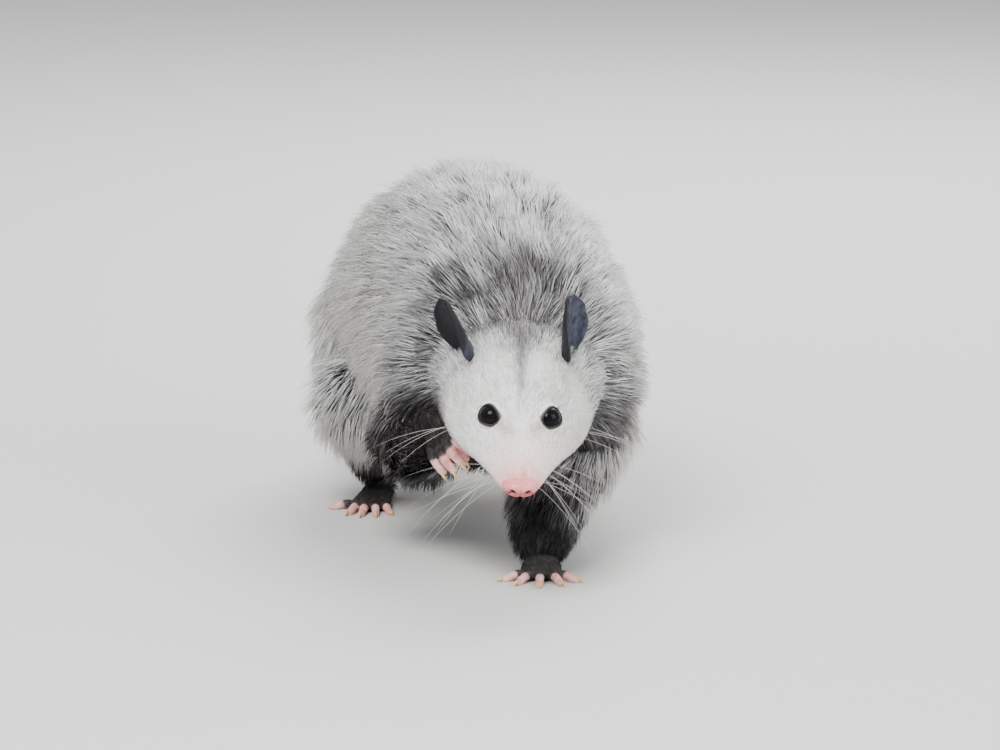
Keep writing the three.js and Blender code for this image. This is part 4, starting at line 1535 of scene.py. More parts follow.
@dataclass
class Skin:
    """One skin over trunk, head, legs, paws and tail, made by remeshing their joined forms."""

    voxel: float = 0.85
    smoothing_rounds: int = 2
    triangles: int = 185000
    coarse_under: float = 14
    scales_around: int = 22
    scale_row: float = 1.5
    replaced: tuple[str, ...] = (
        "head", "jaw", "neck", "chest", "loin", "rump", "foreleg_left", "foreleg_right",
        "shank_left", "shank_right", "thigh_left", "thigh_right", "hand_left", "hand_right",
        "foot_left", "foot_right", "tail_1", "tail_2", "tail_3", "tail_4",
    )

    def trunk(self) -> Surface:
        """The trunk under its coat: trunk_point on rings that lie closer at the neck."""
        station = np.concatenate([np.linspace(72, 110, 16), np.linspace(113, 394, 70)])[:, None]
        return Surface.closed(trunk_point(station, even_angles(96) + 0 * station, CORE_DEPTH))

    def head(self) -> Surface:
        """Skull and muzzle: head_point on rings that lie closer on the muzzle.

        Returns:
            The closed head.
        """
        back = np.concatenate([np.linspace(2, 60, 50), np.linspace(61.5, 117.5, 40)])[:, None]
        angle = even_angles(96)
        return Surface.closed(on_head(head_point(back + 0 * angle, angle + 0 * back)))

    def jaw(self) -> Surface:
        """The lower jaw, narrower than the upper lip: ovals about the middle of each row.

        Returns:
            The closed jaw.
        """
        row = at_first(JAW_ROWS, np.linspace(9, 86, 40))
        angle = even_angles(48)
        middle = (row[:, 2] + row[:, 3])[:, None] / 2
        half = (row[:, 2] - row[:, 3])[:, None] / 2
        x = np.cos(angle) * row[:, 1:2]
        z = middle + np.sin(angle) * half
        return Surface.closed(on_head(np.stack([x, row[:, :1] + 0 * x, z], -1)))

    def legs(self) -> list[Surface]:
        """The legs: tubes through their rows, each drawn in by the depth of its own fur.

        Returns:
            The closed tubes.
        """
        made = []
        for name, rows in LEG_ROWS.items():
            table = np.array(rows, float)
            thigh = name.startswith("thigh")
            depth = THIGH_CORE_DEPTH if thigh else LEG_FUR_DEPTH
            if not thigh:
                table[-1, 3:] += depth * 0.6
            length, height = np.abs(table[0] - table[-1])[1:3]
            up = (0, -1, 0.2) if height > length else (0, 0, 1)
            made.append(tube(table, sides=48, up=up, grow=-depth))
        return made

    def tail(self) -> Surface:
        """The whole tail, kept from sinking into the floor."""
        rows = [[x, y, max(z, r - 0.2), r, r] for x, y, z, r in TAIL_ROWS]
        return tube(rows, rings=200, sides=36, up=(0, -0.2, 1))

    def remeshed(self) -> bpy.types.Mesh:
        """Joins all forms and remeshes them by voxels, then smooths the result.

        Returns:
            The fine mesh.
        """
        forms = [self.trunk(), self.head(), self.jaw(), self.tail(), *self.legs()]
        for paw in PAWS:
            forms += paw.flesh()
        rough = write_mesh("skin_forms", Surface.joined(forms))
        remesh = rough.modifiers.new("remesh", "REMESH")
        remesh.mode = "VOXEL"
        remesh.voxel_size = self.voxel * METRE
        remesh.use_smooth_shade = True
        smooth = rough.modifiers.new("smooth", "SMOOTH")
        smooth.factor = 0.5
        smooth.iterations = self.smoothing_rounds
        return evaluated(rough)

    def thinned(self, mesh: bpy.types.Mesh) -> bpy.types.Mesh:
        """Brings a fine mesh down to its count of triangles, mostly where long coat hides it.

        Args:
            mesh: the fine mesh.

        Returns:
            The lighter mesh, with nothing under the floor.
        """
        pelt = pelt_at(*vertex_arrays(mesh))
        fine = add_object("skin_fine", mesh)
        group = fine.vertex_groups.new(name="long_coat")
        group.add(np.flatnonzero(pelt.length > self.coarse_under).tolist(), 1.0, "REPLACE")
        thin = fine.modifiers.new("thin", "DECIMATE")
        thin.ratio = min(1.0, self.triangles / (2 * len(mesh.polygons)))
        thin.vertex_group = group.name
        thin.vertex_group_factor = 3.0
        final = evaluated(fine)
        place = np.zeros(len(final.vertices) * 3, np.float32)
        final.vertices.foreach_get("co", place)
        place[2::3] = np.maximum(place[2::3], 0)
        final.vertices.foreach_set("co", place)
        return final

    def build(self, material: bpy.types.Material) -> bpy.types.Mesh:
        """Builds the skin: remeshed, thinned and marked.

        Args:
            material: the skin's material.

        Returns:
            The skin's mesh.
        """
        mesh = self.thinned(self.remeshed())
        made = add_object("skin", mesh)
        self.mark(mesh)
        mesh.materials.clear()
        mesh.polygons.foreach_set("use_smooth", np.ones(len(mesh.polygons), bool))
        dress(made, material, self.replaced)
        return mesh

    def mark(self, mesh: bpy.types.Mesh) -> None:
        """Stores the markings with their painted shade, and on the tail the place among its rows of
        scales.

        Args:
            mesh: the skin's mesh.
        """
        points, normals = vertex_arrays(mesh)
        pelt = pelt_at(points, normals)
        marks_and_shade = marks_and_shade_at(points, pelt)
        tail = (pelt.region == Region.TAIL.value) * (1 - smoothstep(0.2, 0.7, marks_and_shade.furred))
        store(
            mesh, light=marks_and_shade.light * (1 - 0.75 * pelt.grizzle), brown=marks_and_shade.brown, pink=marks_and_shade.pink,
            furred=marks_and_shade.furred, tail=tail, scale_u=pelt.around * self.scales_around,
            scale_v=pelt.along / self.scale_row,
        )


def evaluated(source: bpy.types.Object) -> bpy.types.Mesh:
    """Applies an object's modifiers and removes the object.

    Args:
        source: the object.

    Returns:
        A mesh of its own.
    """
    graph = bpy.context.evaluated_depsgraph_get()
    graph.update()
    mesh = bpy.data.meshes.new_from_object(source.evaluated_get(graph))
    bpy.data.objects.remove(source)
    return mesh


class Hair(Enum):
    """The two kinds of tuft: soft short underfur and long guard hair."""

    UNDER = 0
    GUARD = 1


@dataclass
class Tufts:
    """Rows of tufts to be built: roots, frames and cut, one entry a tuft."""

    root: Array
    normal: Array
    lie: Array
    length: Array
    rise: Array
    width: Array
    light: Array
    brown: Array
    pink: Array
    grizzle: Array
    kind: Array
    place: Array
    clump: Array


@dataclass
class Coat:
    """The coat: solid three-sided tufts that grow from the skin and lie along the body.

    A tuft's spine runs from its sunk root along the lie of the coat, rises by the stand of its
    hair, sags a little and draws towards the middle of its clump. Its section is a triangle that
    narrows to a point. Shares are parts of a tuft's length, and widths are parts of its width
    there. A spread has the part of each tuft's own draw and the part of its clump's draw.
    """

    piece_tufts: int = 12000
    shares: tuple[float, ...] = (0.0, 0.5)
    widths: tuple[float, ...] = (0.9, 0.8)
    sunk: tuple[float, float] = (0.12, 1.2)
    sunk_share: float = 0.3
    straightening: float = 0.38
    sag: float = 0.07
    patch: float = 0.003
    patch_span: tuple[float, float] = (0.01, 0.975)
    guard_share: float = 0.64
    under_cut: float = 0.36
    under_wider: float = 0.9
    guard_width: float = 0.85
    guard_stand: float = 4
    length_spread: tuple[float, float] = (0.10, 0.06)
    stand_spread: tuple[float, float] = (5, 2.5)
    sway_spread: tuple[float, float] = (0.10, 0.22)
    width_spread: float = 0.15
    tone_spread: float = 0.07
    clump_tone: tuple[float, float] = (0.04, 0.09)
    stand_limits: tuple[float, float] = (4, 70)
    least_length: float = 0.8
    least_width: float = 0.25
    root_tone: float = 0.12
    guard_tip_tone: float = 1.5
    under_tip_tone: float = 0.5
    tip_from: float = 0.75
    short_tone: tuple[float, float] = (0.92, 0.08)
    clump_size: float = 6.5
    clump_bend: float = 3.0
    clump_pull: float = 0.26
    most_dense: float = 1.6
    shortest: float = 1.0
    lowest_root: float = 1.5
    lowest_point: float = 0.3
    seed: int = 11
    pieces: tuple[tuple[Region, str, str], ...] = (
        (Region.HEAD, "coat_head", "face_fur"),
        (Region.TRUNK, "coat_trunk", "coat"),
        (Region.FORE_LEFT, "coat_foreleg_left", "leg_fur"),
        (Region.FORE_RIGHT, "coat_foreleg_right", "leg_fur"),
        (Region.HIND_LEFT, "coat_hindleg_left", "leg_fur"),
        (Region.HIND_RIGHT, "coat_hindleg_right", "leg_fur"),
        (Region.TAIL, "coat_tail", "leg_fur"),
    )

    def roots(self, skin: bpy.types.Mesh) -> tuple[Array, Array]:
        """Draws places on the skin: a triangle by its share of the area, then a place in it.

        Args:
            skin: the finished skin.

        Returns:
            Points in millimetres and unit normals.
        """
        points, normals = vertex_arrays(skin)
        skin.calc_loop_triangles()
        corner = np.zeros(len(skin.loop_triangles) * 3, np.int32)
        skin.loop_triangles.foreach_get("vertices", corner)
        corner = corner.reshape(-1, 3)
        a, b, c = (points[corner[:, k]] for k in range(3))
        area = np.linalg.norm(np.cross(b - a, c - a), axis=1) / 2
        rng = np.random.default_rng(self.seed)
        count = int(area.sum() * self.most_dense)
        pick = np.searchsorted(np.cumsum(area) / area.sum(), np.sort(rng.random(count)))
        u, v = rng.random((2, count, 1))
        over = u + v > 1
        u, v = np.where(over, 1 - u, u), np.where(over, 1 - v, v)
        w = 1 - u - v
        spot = a[pick] * w + b[pick] * u + c[pick] * v
        n = [normals[corner[pick, k]] for k in range(3)]
        return spot, unit(n[0] * w + n[1] * u + n[2] * v)

    def grown(
        self, points: Array, pelt: Pelt, marks_and_shade: MarksAndShade, rng: np.random.Generator
    ) -> Array:
        """Chooses the roots that carry a tuft: by density, off the eyes and clear of the floor.

        Args:
            points: the drawn places.
            pelt: the pelt there.
            marks_and_shade: the markings and painted shade there.
            rng: the source of draws.

        Returns:
            True for each place that carries a tuft.
        """
        wanted = pelt.density / self.most_dense * np.clip(marks_and_shade.furred * 1.5, 0, 1)
        keep = rng.random(len(points)) < wanted * (pelt.length > self.shortest)
        for sign, _ in SIDES:
            middle, out = eye_seat(sign)
            off = from_head(points) - middle + [0, 1.3, 0]
            flat = np.linalg.norm(off - (off @ out)[:, None] * out, axis=1)
            keep &= ~((flat < EYE_RADIUS - 0.2) & (np.abs(off @ out) < EYE_REACH))
        return keep & (points[:, 2] > self.lowest_root)

    def clumps(self, points: Array) -> Array:
        """Sorts tufts into clumps: the cells of a cubic grid that is bent by noise.

        Args:
            points: the tufts' roots.

        Returns:
            The number of each tuft's clump.
        """
        bend = np.stack([wave_noise(points, 22, k) for k in (21, 22, 23)], 1)
        cell = np.floor((points + self.clump_bend * bend) / self.clump_size).astype(np.int64)
        return np.unique(cell, axis=0, return_inverse=True)[1].reshape(-1)

    def plan(self, skin: bpy.types.Mesh) -> Tufts:
        """Chooses the tufts: where they grow, their kind, cut and tone.

        Each takes its cut from the pelt, with a draw of its own and one that its clump shares,
        which counts where the coat is long.

        Args:
            skin: the finished skin.

        Returns:
            The tufts.
        """
        points, normals = self.roots(skin)
        rng = np.random.default_rng(self.seed + 1)
        pelt = pelt_at(points, normals)
        marks_and_shade = marks_and_shade_at(points, pelt)
        keep = self.grown(points, pelt, marks_and_shade, rng)
        points, normals = points[keep], normals[keep]
        pelt, marks_and_shade = picked(pelt, keep), picked(marks_and_shade, keep)
        count = len(points)
        long_coat = smoothstep(*LONG_COAT, pelt.length)
        guard = rng.random(count) < self.guard_share
        clump = self.clumps(points)
        lift, swing, shade = (rng.normal(0, 1, clump.max() + 1)[clump] for _ in range(3))
        vary = rng.normal(0, 1, (4, count))

        def spread(base: Array, own: Array, shared: Array, sizes: tuple[float, float]) -> Array:
            """A value with a tuft's own draw added, and on long coat its clump's draw."""
            return base + sizes[0] * own + sizes[1] * shared * long_coat

        length = pelt.length * spread(1, vary[0], lift, self.length_spread)
        length *= np.where(guard, 1.0, 1 - self.under_cut * long_coat)
        rise = spread(pelt.rise, vary[1], lift, self.stand_spread)
        rise = rise + np.where(guard, self.guard_stand, 0) * long_coat
        width = pelt.width * np.where(guard, self.guard_width, 1 + self.under_wider * long_coat)
        width = width * (1 + self.width_spread * vary[2])
        side = unit(np.cross(pelt.lie, normals))
        sway = spread(0, vary[3], swing, self.sway_spread)
        clump_tone = self.clump_tone[0] + self.clump_tone[1] * long_coat
        light = marks_and_shade.light + clump_tone * shade + self.tone_spread * vary[2]
        return Tufts(
            points, normals, unit(pelt.lie + side * sway[:, None]),
            np.maximum(length, self.least_length), np.radians(np.clip(rise, *self.stand_limits)),
            np.maximum(width, self.least_width), np.clip(light, 0, 1),
            marks_and_shade.brown, marks_and_shade.pink, pelt.grizzle,
            np.where(guard, Hair.GUARD.value, Hair.UNDER.value),
            np.stack([pelt.region, pelt.along, pelt.around], 1), clump,
        )

    def spine(self, tufts: Tufts, share: float) -> Array:
        """The spine's points at one share of the length.

        The point lies out from the sunk root by cosine of the stand along the lie and by sine,
        which weakens towards the tip, along the normal, less a sag that grows with the square.

        Args:
            tufts: the tufts.
            share: the share of the length, 0 at the root and 1 at the tip.

        Returns:
            One point for each tuft.
        """
        reach = tufts.length[:, None] * share
        rise = tufts.rise[:, None]
        up = np.sin(rise) * (1 - self.straightening * share)
        depth = np.clip(self.sunk_share * tufts.length[:, None] * np.sin(rise), *self.sunk)
        point = tufts.root - tufts.normal * depth
        point = point + reach * (np.cos(rise) * tufts.lie + up * tufts.normal)
        point[:, 2] -= self.sag * tufts.length * share * share
        return point

    def rings(self, tufts: Tufts) -> Array:
        """Each tuft's points: three a ring about its spine, drawn to the clump's middle, and its tip.

        Args:
            tufts: the tufts.

        Returns:
            Points by tuft, point and x, y, z.
        """
        across = unit(np.cross(tufts.lie, tufts.normal))
        over = unit(np.cross(across, tufts.lie))
        sums = np.zeros((tufts.clump.max() + 1, 3))
        np.add.at(sums, tufts.clump, self.spine(tufts, 1.0))
        middle = sums[tufts.clump] / np.bincount(tufts.clump)[tufts.clump][:, None]
        pull = self.clump_pull * smoothstep(*LONG_COAT, tufts.length)

        def drawn(share: float) -> Array:
            """The spine's points at a share of the length, drawn to the middle of their clump."""
            spine = self.spine(tufts, share)
            return spine + (middle - spine) * (pull * share**2)[:, None]

        points = []
        for share, wide in zip(self.shares, self.widths):
            spine = drawn(share)
            half = (tufts.width * wide / 2)[:, None]
            points += [spine - across * half, spine + across * half, spine + over * half * 1.1]
        made = np.stack([*points, drawn(1.0)], 1)
        made[..., 2] = np.maximum(made[..., 2], self.lowest_point)
        return made

    def build_piece(self, name: str, tufts: Tufts) -> bpy.types.Object:
        """Builds one coat piece as a single mesh of closed tufts.

        Args:
            name: the piece's name.
            tufts: its tufts.

        Returns:
            The piece, with its tones and its unwrap.
        """
        points = self.rings(tufts)
        count, per = points.shape[:2]
        top = per - 4
        quads = np.array([
            (r + k, r + (k + 1) % 3, r + 3 + (k + 1) % 3, r + 3 + k)
            for r in range(0, top, 3) for k in range(3)
        ])
        triangles = np.array([(0, 2, 1)] + [(top + k, top + (k + 1) % 3, per - 1) for k in range(3)])
        base = (np.arange(count) * per)[:, None, None]
        made = write_mesh(name, Surface(
            points.reshape(-1, 3), (base + triangles).reshape(-1, 3), (base + quads).reshape(-1, 4)
        ))
        strand = np.array([s for s in self.shares for _ in range(3)] + [1.0])
        store(
            made.data, light=self.tone(tufts, strand), brown=np.repeat(tufts.brown, per),
            pink=np.repeat(tufts.pink, per),
        )
        self.unwrap(made.data, tufts, (triangles, quads), strand)
        return made

    def tone(self, tufts: Tufts, strand: Array) -> Array:
        """How light each point of each tuft is.

        Grizzled hair is dark at the root and rises to its tip, which is whiter on a guard hair
        than on underfur. Short hair has one tone.

        Args:
            tufts: the tufts.
            strand: the share of the length at each point of a tuft.

        Returns:
            Values by tuft and point.
        """
        grizzle = tufts.grizzle[:, None]
        guard = (tufts.kind == Hair.GUARD.value)[:, None]
        light = tufts.light[:, None]
        s = strand[None]
        guard_tip = np.clip(light * self.guard_tip_tone, 0, 1)
        tip = np.where(guard, guard_tip, light * self.under_tip_tone)
        base = light * self.root_tone
        long_tone = base + (tip - base) * smoothstep(0.0, self.tip_from, s)
        short_tone = light * (self.short_tone[0] + self.short_tone[1] * s)
        return short_tone + (long_tone - short_tone) * grizzle

    def unwrap(
        self, mesh: bpy.types.Mesh, tufts: Tufts, faces: tuple[Array, Array], strand: Array
    ) -> None:
        """Gives each tuft a small patch at its root's place on the unwrap of the skin.

        Args:
            mesh: the piece's mesh.
            tufts: its tufts.
            faces: one tuft's triangles and quads, by the numbers of its points.
            strand: the share of the length at each point of a tuft.
        """
        along = tufts.place[:, 1]
        low, high = along.min(), along.max()
        start, span = self.patch_span
        v = start + span * (along - low) / max(high - low, 1e-6)
        u = start + span * tufts.place[:, 2]
        lean = np.array([0, 1, 0.5] * len(self.shares) + [0.5])
        local = np.stack([lean * self.patch, strand * self.patch], 1)
        place = np.stack([u, v], 1)[:, None]
        ordered = [(place + local[corners.ravel()][None]).reshape(-1, 2) for corners in faces]
        layer = mesh.uv_layers.new(name="OFBake")
        layer.data.foreach_set("uv", np.concatenate(ordered).astype(np.float32).ravel())

    def build(self, skin: bpy.types.Mesh, material: bpy.types.Material) -> int:
        """Builds every coat piece, cut along the chain of bones into bands of like count.

        Args:
            skin: the finished skin.
            material: the hair's material.

        Returns:
            The number of tufts.
        """
        tufts = self.plan(skin)
        for region, name, slot in self.pieces:
            mine = np.flatnonzero(tufts.place[:, 0] == region.value)
            mine = mine[np.argsort(tufts.place[mine, 1], kind="stable")]
            bands = np.array_split(mine, max(1, math.ceil(len(mine) / self.piece_tufts)))
            for i, band in enumerate(bands):
                piece = name if len(bands) == 1 else f"{name}_{i + 1}"
                dress(self.build_piece(piece, picked(tufts, band)), material)
        return len(tufts.root)


@dataclass
class Eyes:
    """The eyeballs, turned to look out of the skull."""

    rings: int = 32
    sides: int = 48
    bulge: float = 0.02

    def build(self, material: bpy.types.Material) -> None:
        """Builds both eyes: spheres on a polar grid, with a bell that bulges the cornea.

        Args:
            material: the eyes' material.
        """
        for sign, side in SIDES:
            middle, out = eye_seat(sign)
            across = unit(np.cross(out, [0, 1, 0]))
            up = np.cross(across, out)
            a = np.linspace(0.04, math.pi - 0.04, self.rings)[:, None]
            b = even_angles(self.sides)[None]
            reach = EYE_RADIUS * (1 + self.bulge * bell(a / 0.5))
            parts = np.sin(a) * np.cos(b), np.sin(a) * np.sin(b), np.cos(a) + 0 * b
            points = middle + from_parts(parts, (across, up, out)) * reach[..., None]
            made = write_mesh(f"eyeball_{side}", Surface.closed(on_head(points)))
            dress(made, material, [f"eye_{side}"])


@dataclass
class Lids:
    """Thin lids over each eyeball, open in an almond that slants down to the inner corner.

    Opening, corners and edge are angles in radians out from the middle of the look.
    """

    rings: int = 20
    sides: int = 96
    wall: float = 0.7
    gap: float = 0.12
    inner_gap: float = 0.04
    opening: float = 0.68
    inner_corner: float = 0.42
    outer_corner: float = 0.26
    outer_edge: float = 1.8

    def build(self, material: bpy.types.Material) -> None:
        """Builds the lids of both eyes, with dark rims that fade into white fur.

        A lid is a patch of a sphere just outside the eyeball, from its almond opening out to its
        edge in the skin. The opening is widened by the cube of the cosine at each corner.

        Args:
            material: the hair's material.
        """
        for sign, side in SIDES:
            middle, out = eye_seat(sign)
            inward = eye_inward(sign, out)
            across = np.cross(out, inward)
            a = even_angles(self.sides)[:, None]
            s = np.linspace(0, 1, self.rings)[None]
            inner, outer = np.maximum(0, np.cos(a)) ** 3, np.maximum(0, -np.cos(a)) ** 3
            rim = self.opening + self.inner_corner * inner + self.outer_corner * outer
            polar = rim + (self.outer_edge - rim) * s**1.5
            parts = np.cos(a) * np.sin(polar), np.sin(a) * np.sin(polar), np.cos(polar) + 0 * a
            direction = from_parts(parts, (inward, across, out))
            reach = EYE_RADIUS + self.gap + self.wall * smoothstep(0, 0.12, s) + 0 * a
            top = middle + direction * reach[..., None]
            under = middle + direction * (EYE_RADIUS + self.inner_gap)
            points = np.concatenate([top[:, ::-1], under], 1)
            made = write_mesh(f"lids_{side}", Surface.band(on_head(points)))
            past = polar - rim
            light = 0.98 * smoothstep(0.10, 0.26 + 0.3 * inner, past)
            brown = smoothstep(0.04, 0.12, past) * (1 - smoothstep(0.25, 0.5 + 0.3 * inner, past))
            brown = brown * (0.6 + 0.4 * inner)
            store(
                made.data, light=np.concatenate([light[:, ::-1], 0 * light], 1),
                brown=np.concatenate([brown[:, ::-1], 0 * brown], 1),
                pink=np.zeros(points[..., 0].size),
            )
            dress(made, material)


@dataclass
class Nose:
    """The nose pad: a rounded form with a groove down its middle and a nostril to each side."""

    half_width: float = 9.1
    half_height: float = 4.7
    middle: float = -1.1
    front: float = -4.4
    back: float = 10.0
    rings: int = 72
    sides: int = 112
    nostril_aside: float = 3.6
    slit_aside: float = 5.6
    pit_depth: float = 2.6
    groove_depth: float = 0.9

    def pits(self, x: Array, z: Array) -> Array:
        """How deep the nostrils are: a bell for each, with a flatter one that leads outwards.

        Args:
            x: places across the pad.
            z: heights on the pad.

        Returns:
            0 on the pad and about 1 in a nostril.
        """
        made = np.zeros_like(x)
        for sign, _ in SIDES:
            off_x = x - sign * self.nostril_aside
            off_z = z - 0.1 - 0.25 * sign * off_x
            made = made + bell(off_x / 1.5, off_z)
            made = made + 0.5 * bell((x - sign * self.slit_aside) / 1.6, (z + 0.9) / 0.5)
        return made

    def build(self, material: bpy.types.Material) -> None:
        """Builds the pad: a superellipsoid with pits and a groove pressed into its front.

        Args:
            material: the pad's material.
        """
        a = np.linspace(0.03, math.pi - 0.03, self.rings)[:, None]
        b = even_angles(self.sides)[None]
        flat = signed_power(np.sin(a), 0.8)
        x = flat * signed_power(np.cos(b), 0.85) * self.half_width
        z = flat * signed_power(np.sin(b), 0.9) * self.half_height
        depth = (self.back - self.front) / 2
        y = (self.back + self.front) / 2 - np.cos(a) * depth + 0 * b
        x = x * (1 - 0.12 * (z / self.half_height < -0.2) * np.abs(z) / self.half_height)
        face = smoothstep(4.0, -1.0, y)
        groove = bell(x / 0.8) * smoothstep(2.5, -3.5, z - 1.5)
        pits = self.pits(x, z)
        y = y + face * (self.pit_depth * np.clip(pits, 0, 1) + self.groove_depth * groove)
        points = on_head(np.stack([x, y, z + self.middle], -1))
        made = write_mesh("nose_pad", Surface.closed(points))
        # Where painted shade darkens the pad: in the nostrils and along the groove
        pit = np.clip(face * (pits * 1.3 + 0.3 * groove), 0, 1)
        # Darker red towards the bottom of the pad, partly painted shade under it
        store(made.data, low=with_poles(smoothstep(2.5, -3.2, z)), pit=with_poles(pit))
        dress(made, material, ["nose"])


def with_poles(values: Array) -> Array:
    """A value for each point of a closed surface: those of its rings, and 0 at both poles."""
    return np.concatenate([values.ravel(), [0, 0]])


@dataclass(frozen=True)
class Ear:
    """Where one ear stands, in the head's own frame, and how light its skin is.

    Axis runs up the leaf and opening is the way that the cup faces. The last two numbers give how
    strongly a painted blue-grey sky reflection lies inside the cup, and on the folds outside its base.
    """

    side: str
    root: tuple[float, float, float]
    axis: tuple[float, float, float]
    opening: tuple[float, float, float]
    bloom: float
    fold: float


@dataclass
class Ears:
    """Thin leaves, rolled into a cup at the root and flatter towards the tip."""

    length: float = 40.0
    width: float = 27.0
    wall: float = 1.3
    first: float = 0.06
    root_roll: float = 76
    tip_roll: float = 38
    rings: int = 48
    across: int = 36
    ears: tuple[Ear, ...] = (
        Ear("left", (22.5, 94, 14.5), (0.0, -0.1, 1), (0.93, -0.37, 0.05), 0.85, 0.0),
        Ear("right", (-22.5, 94, 14.5), (-0.42, -0.12, 0.9), (-0.87, -0.48, -0.1), 0.0, 0.9),
    )

    def leaf(self) -> Array:
        """The leaf in its own frame, which opens to -y and grows up z.

        Each ring is an arc whose roll falls from root to tip and whose width follows a sine, out
        and back on both faces of the wall. Sines of place and height crease it.

        Returns:
            Points by ring, place in the ring and x, y, z.
        """
        share = np.linspace(-1, 1, self.across)[None]
        t = np.linspace(self.first, 1, self.rings)[:, None]
        notches = 1 + 0.035 * np.sin(t * 19) * smoothstep(0.3, 0.5, t)
        width = self.width / 2 * np.sin(math.pi * (0.04 + 0.9 * t)) ** 0.7 * notches
        roll = np.radians(self.root_roll + (self.tip_roll - self.root_roll) * np.minimum(1, t * 1.2))
        radius = width / np.sin(roll)
        a = share * roll
        ridge = 0.35 * np.sin(share * 9 + t * 5) * (1 - t)
        ridge = ridge + 0.25 * np.sin(t * 34) * (1 - np.abs(share)) * 0.6
        rim = smoothstep(0.8, 1.0, np.abs(share)) * 0.5

        def sheet(offset: float) -> Array:
            """One face of the leaf.

            Args:
                offset: how far out from the leaf's middle it lies.

            Returns:
                Points by ring, place in the ring and x, y, z.
            """
            reach = radius + offset + ridge
            y = (np.cos(a) - 1) * reach + offset + ridge - rim
            return np.stack([np.sin(a) * reach, y, t * self.length + 0 * a], -1)

        outer, inner = sheet(0.5 * self.wall), sheet(-0.5 * self.wall)
        return np.concatenate([outer, inner[:, ::-1]], 1)

    def build(self, material: bpy.types.Material) -> None:
        """Builds both ears: the leaf turned to each ear's axis and opening.

        Args:
            material: the ears' material.
        """
        t = np.linspace(self.first, 1, self.rings)[:, None]
        # The lower part of the leaf, where the painted sheen on the folds lies
        low = (1 - smoothstep(0.3, 0.6, t)) + np.zeros((1, self.across))
        for ear in self.ears:
            z = unit(np.array(ear.axis, float)) @ HEAD_TURN.T
            y = -(unit(np.array(ear.opening, float)) @ HEAD_TURN.T)
            y = unit(y - z * (y @ z))
            basis = np.stack([np.cross(y, z), y, z])
            points = self.leaf() @ basis + on_head(np.array([ear.root], float))[0]
            made = write_mesh(f"ear_leaf_{ear.side}", Surface.closed(points))
            # Painted sky reflection on each face: over the folds low on the outside, and inside the
            # cup
            pale = np.concatenate([ear.fold * low, ear.bloom + 0 * low], 1)
            store(made.data, inside=with_poles(pale))
            dress(made, material, [f"ear_{ear.side}"])


@dataclass
class Whiskers:
    """Long tapered hairs from muzzle, cheek and brow, each bending down and back."""

    sides: int = 4
    rings: int = 12
    thickness: float = 0.12
    muzzle: int = 12
    cheek: int = 4
    brow: int = 2
    bend: tuple[float, float, float] = (0, 0.12, -0.24)
    seed: int = 5

    def drawn(self) -> tuple[Array, Array, Array]:
        """Draws the whiskers of both sides: rows on the muzzle, then the cheek, then the brow.

        Returns:
            Place as distance back and angle on the head, way out in its frame, and length.
        """
        rng = np.random.default_rng(self.seed)
        found = []
        for sign, _ in SIDES:
            for k in range(self.muzzle):
                back = 12 + 17 * (k % 4) / 3 + rng.uniform(-1.5, 1.5)
                angle = -10 - 17 * (k // 4) + rng.uniform(-4, 4)
                way = sign * rng.uniform(0.7, 1.2), rng.uniform(0.1, 0.6), rng.uniform(-1.5, -0.2)
                found.append((back, sign, angle, *way, rng.uniform(32, 66)))
            for _ in range(self.cheek):
                back = 66 + rng.uniform(-4, 6)
                angle = -18 + rng.uniform(-9, 9)
                way = sign * 1.2, rng.uniform(0.1, 0.5), rng.uniform(-0.9, -0.3)
                found.append((back, sign, angle, *way, rng.uniform(30, 46)))
            for k in range(self.brow):
                found.append((44 + 4 * k, sign, 64, sign * 0.5, 0.1, 1.0, rng.uniform(18, 26)))
        table = np.array(found)
        angle = np.radians(table[:, 2])
        angle = np.where(table[:, 1] > 0, angle, math.pi - angle)
        return np.stack([table[:, 0], angle], 1), table[:, 3:6], table[:, 6]

    def build(self, material: bpy.types.Material) -> None:
        """Builds every whisker as one mesh: thin tubes about lines that bend with the square.

        Args:
            material: the whiskers' material.
        """
        place, ways, lengths = self.drawn()
        root = on_head(head_point(place[:, 0], place[:, 1]))
        way = unit(ways @ HEAD_TURN.T)[:, None]
        s = np.linspace(0, 1, self.rings)
        line = way * s[None, :, None] + np.array(self.bend) * (s**2)[None, :, None]
        spine = root[:, None] + lengths[:, None, None] * line
        forward = unit(np.gradient(spine, axis=1))
        side = unit(np.cross(forward, [0.1, 1.0, 0.2]))
        over = np.cross(side, forward)
        radius = self.thickness * (1 - 0.9 * s)[None, :, None, None]
        a = even_angles(self.sides)[:, None]
        round_part = np.cos(a) * side[:, :, None] + np.sin(a) * over[:, :, None]
        rings = spine[:, :, None] + radius * round_part
        made = write_mesh("whiskers", Surface.joined([Surface.closed(r) for r in rings]))
        strand = np.concatenate([np.repeat(s, self.sides), [0, 1]])
        store(made.data, strand=np.tile(strand, len(rings)))
        dress(made, material)


@dataclass(frozen=True)
class Lamp:
    """A square soft light: where it hangs, how wide it is and how strong, in watts."""

    name: str
    place: tuple[float, float, float]
    size: float
    power: float


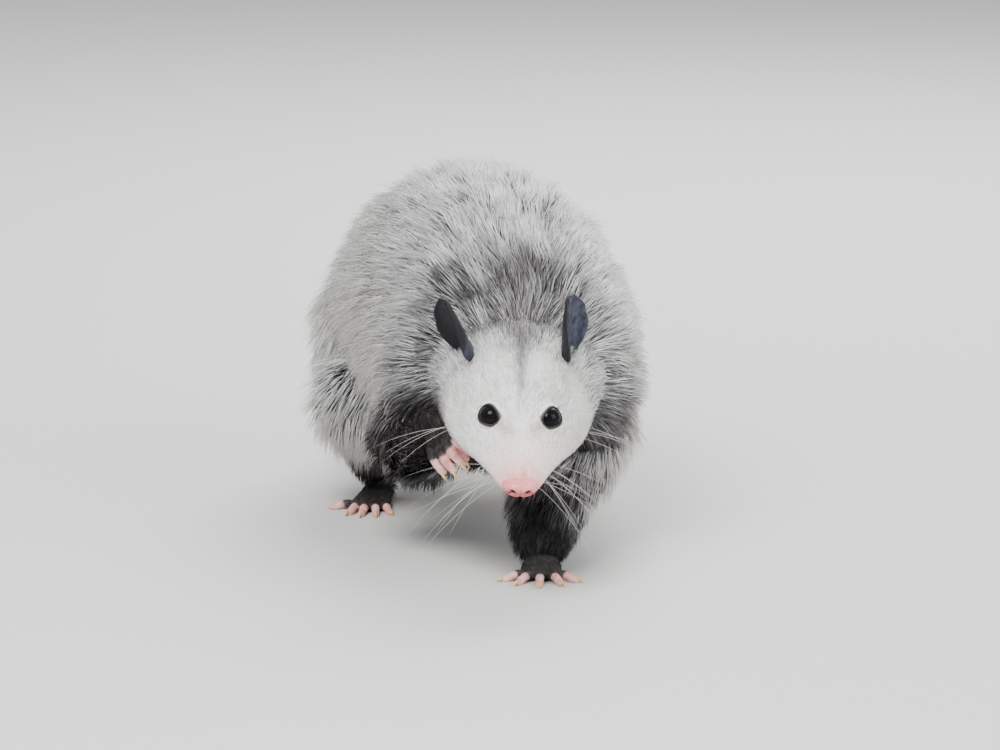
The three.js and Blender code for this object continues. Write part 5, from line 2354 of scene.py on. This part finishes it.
@dataclass
class Studio:
    """A plain pale floor, soft lights and the photograph's camera."""

    floor_reach: float = 9000.0
    floor_colour: tuple = (0.60, 0.59, 0.57)
    sky_colour: tuple = (0.92, 0.95, 1.0)
    sky_strength: float = 0.75
    lamps: tuple[Lamp, ...] = (
        Lamp("key", (-500, -1000, 1500), 900, 52),
        Lamp("fill", (1300, -700, 900), 1100, 20),
        Lamp("rim", (300, 1500, 1300), 1000, 46),
    )
    lit_point: tuple[float, float, float] = (0.0, 150.0, 90.0)
    elevation: float = math.radians(12)
    distance: float = 3000.0
    lens: float = 216.0
    aside: float = -9.0
    above: float = 56.0

    def build(self) -> None:
        """Builds floor, sky, lights and camera."""
        corners = np.array([[-1, -1, 0], [1, -1, 0], [1, 1, 0], [-1, 1, 0]]) * self.floor_reach
        floor = write_mesh("floor", Surface(corners, NO_TRIANGLES, np.array([[0, 1, 2, 3]])))
        colour = (*self.floor_colour, 1)
        floor.data.materials.append(
            Shader("pale_floor").finish({"Base Color": colour, "Roughness": 0.8})
        )
        world = bpy.data.worlds.new("studio")
        world.use_nodes = True
        sky = world.node_tree.nodes["Background"].inputs
        sky["Color"].default_value = (*self.sky_colour, 1)
        sky["Strength"].default_value = self.sky_strength
        bpy.context.scene.world = world
        for lamp in self.lamps:
            self.light(lamp)
        self.camera()

    def light(self, lamp: Lamp) -> None:
        """Adds a lamp that faces the animal.

        Args:
            lamp: its place, size and power.
        """
        data = bpy.data.lights.new(lamp.name, "AREA")
        data.size = lamp.size * METRE
        data.energy = lamp.power
        self.aim(add_object(lamp.name, data), np.array(lamp.place, float), np.array(self.lit_point))

    def aim(self, made: bpy.types.Object, place: Array, target: Array) -> None:
        """Puts an object at a place and turns it to face a target."""
        made.location = Vector((place + SHIFT) * METRE)
        made.rotation_euler = Vector(target - place).to_track_quat("-Z", "Y").to_euler()

    def camera(self) -> None:
        """Adds the camera, with the nose a little right of and below the middle."""
        cos, sin = math.cos(self.elevation), math.sin(self.elevation)
        nose = np.array([0, 0, NOSE_HEIGHT])
        forward = np.array([0, cos, -sin])
        target = nose + np.array([self.aside, 0, 0]) + np.array([0, sin, cos]) * self.above
        data = bpy.data.cameras.new("camera")
        data.lens = self.lens
        data.sensor_width = 36
        made = add_object("camera", data)
        self.aim(made, nose - forward * self.distance, target)
        bpy.context.scene.camera = made


def main() -> None:
    """Builds the animal's pieces in order. Each is reported as it is dressed."""
    logging.basicConfig(level=logging.INFO, format="%(message)s")
    Studio().build()
    pelt = PeltFinish()
    skin = Skin().build(SkinFinish(pelt).material())
    hair = pelt.coat()
    LOG.info("coat: %d tufts", Coat().build(skin, hair))
    Eyes().build(EyeFinish().material())
    Lids().build(hair)
    Nose().build(NoseFinish().material())
    Ears().build(EarFinish().material())
    horn = ClawFinish().material()
    for paw in PAWS:
        paw.build_claws(horn)
    Whiskers().build(WhiskerFinish().material())


if __name__ == "__main__":
    main()
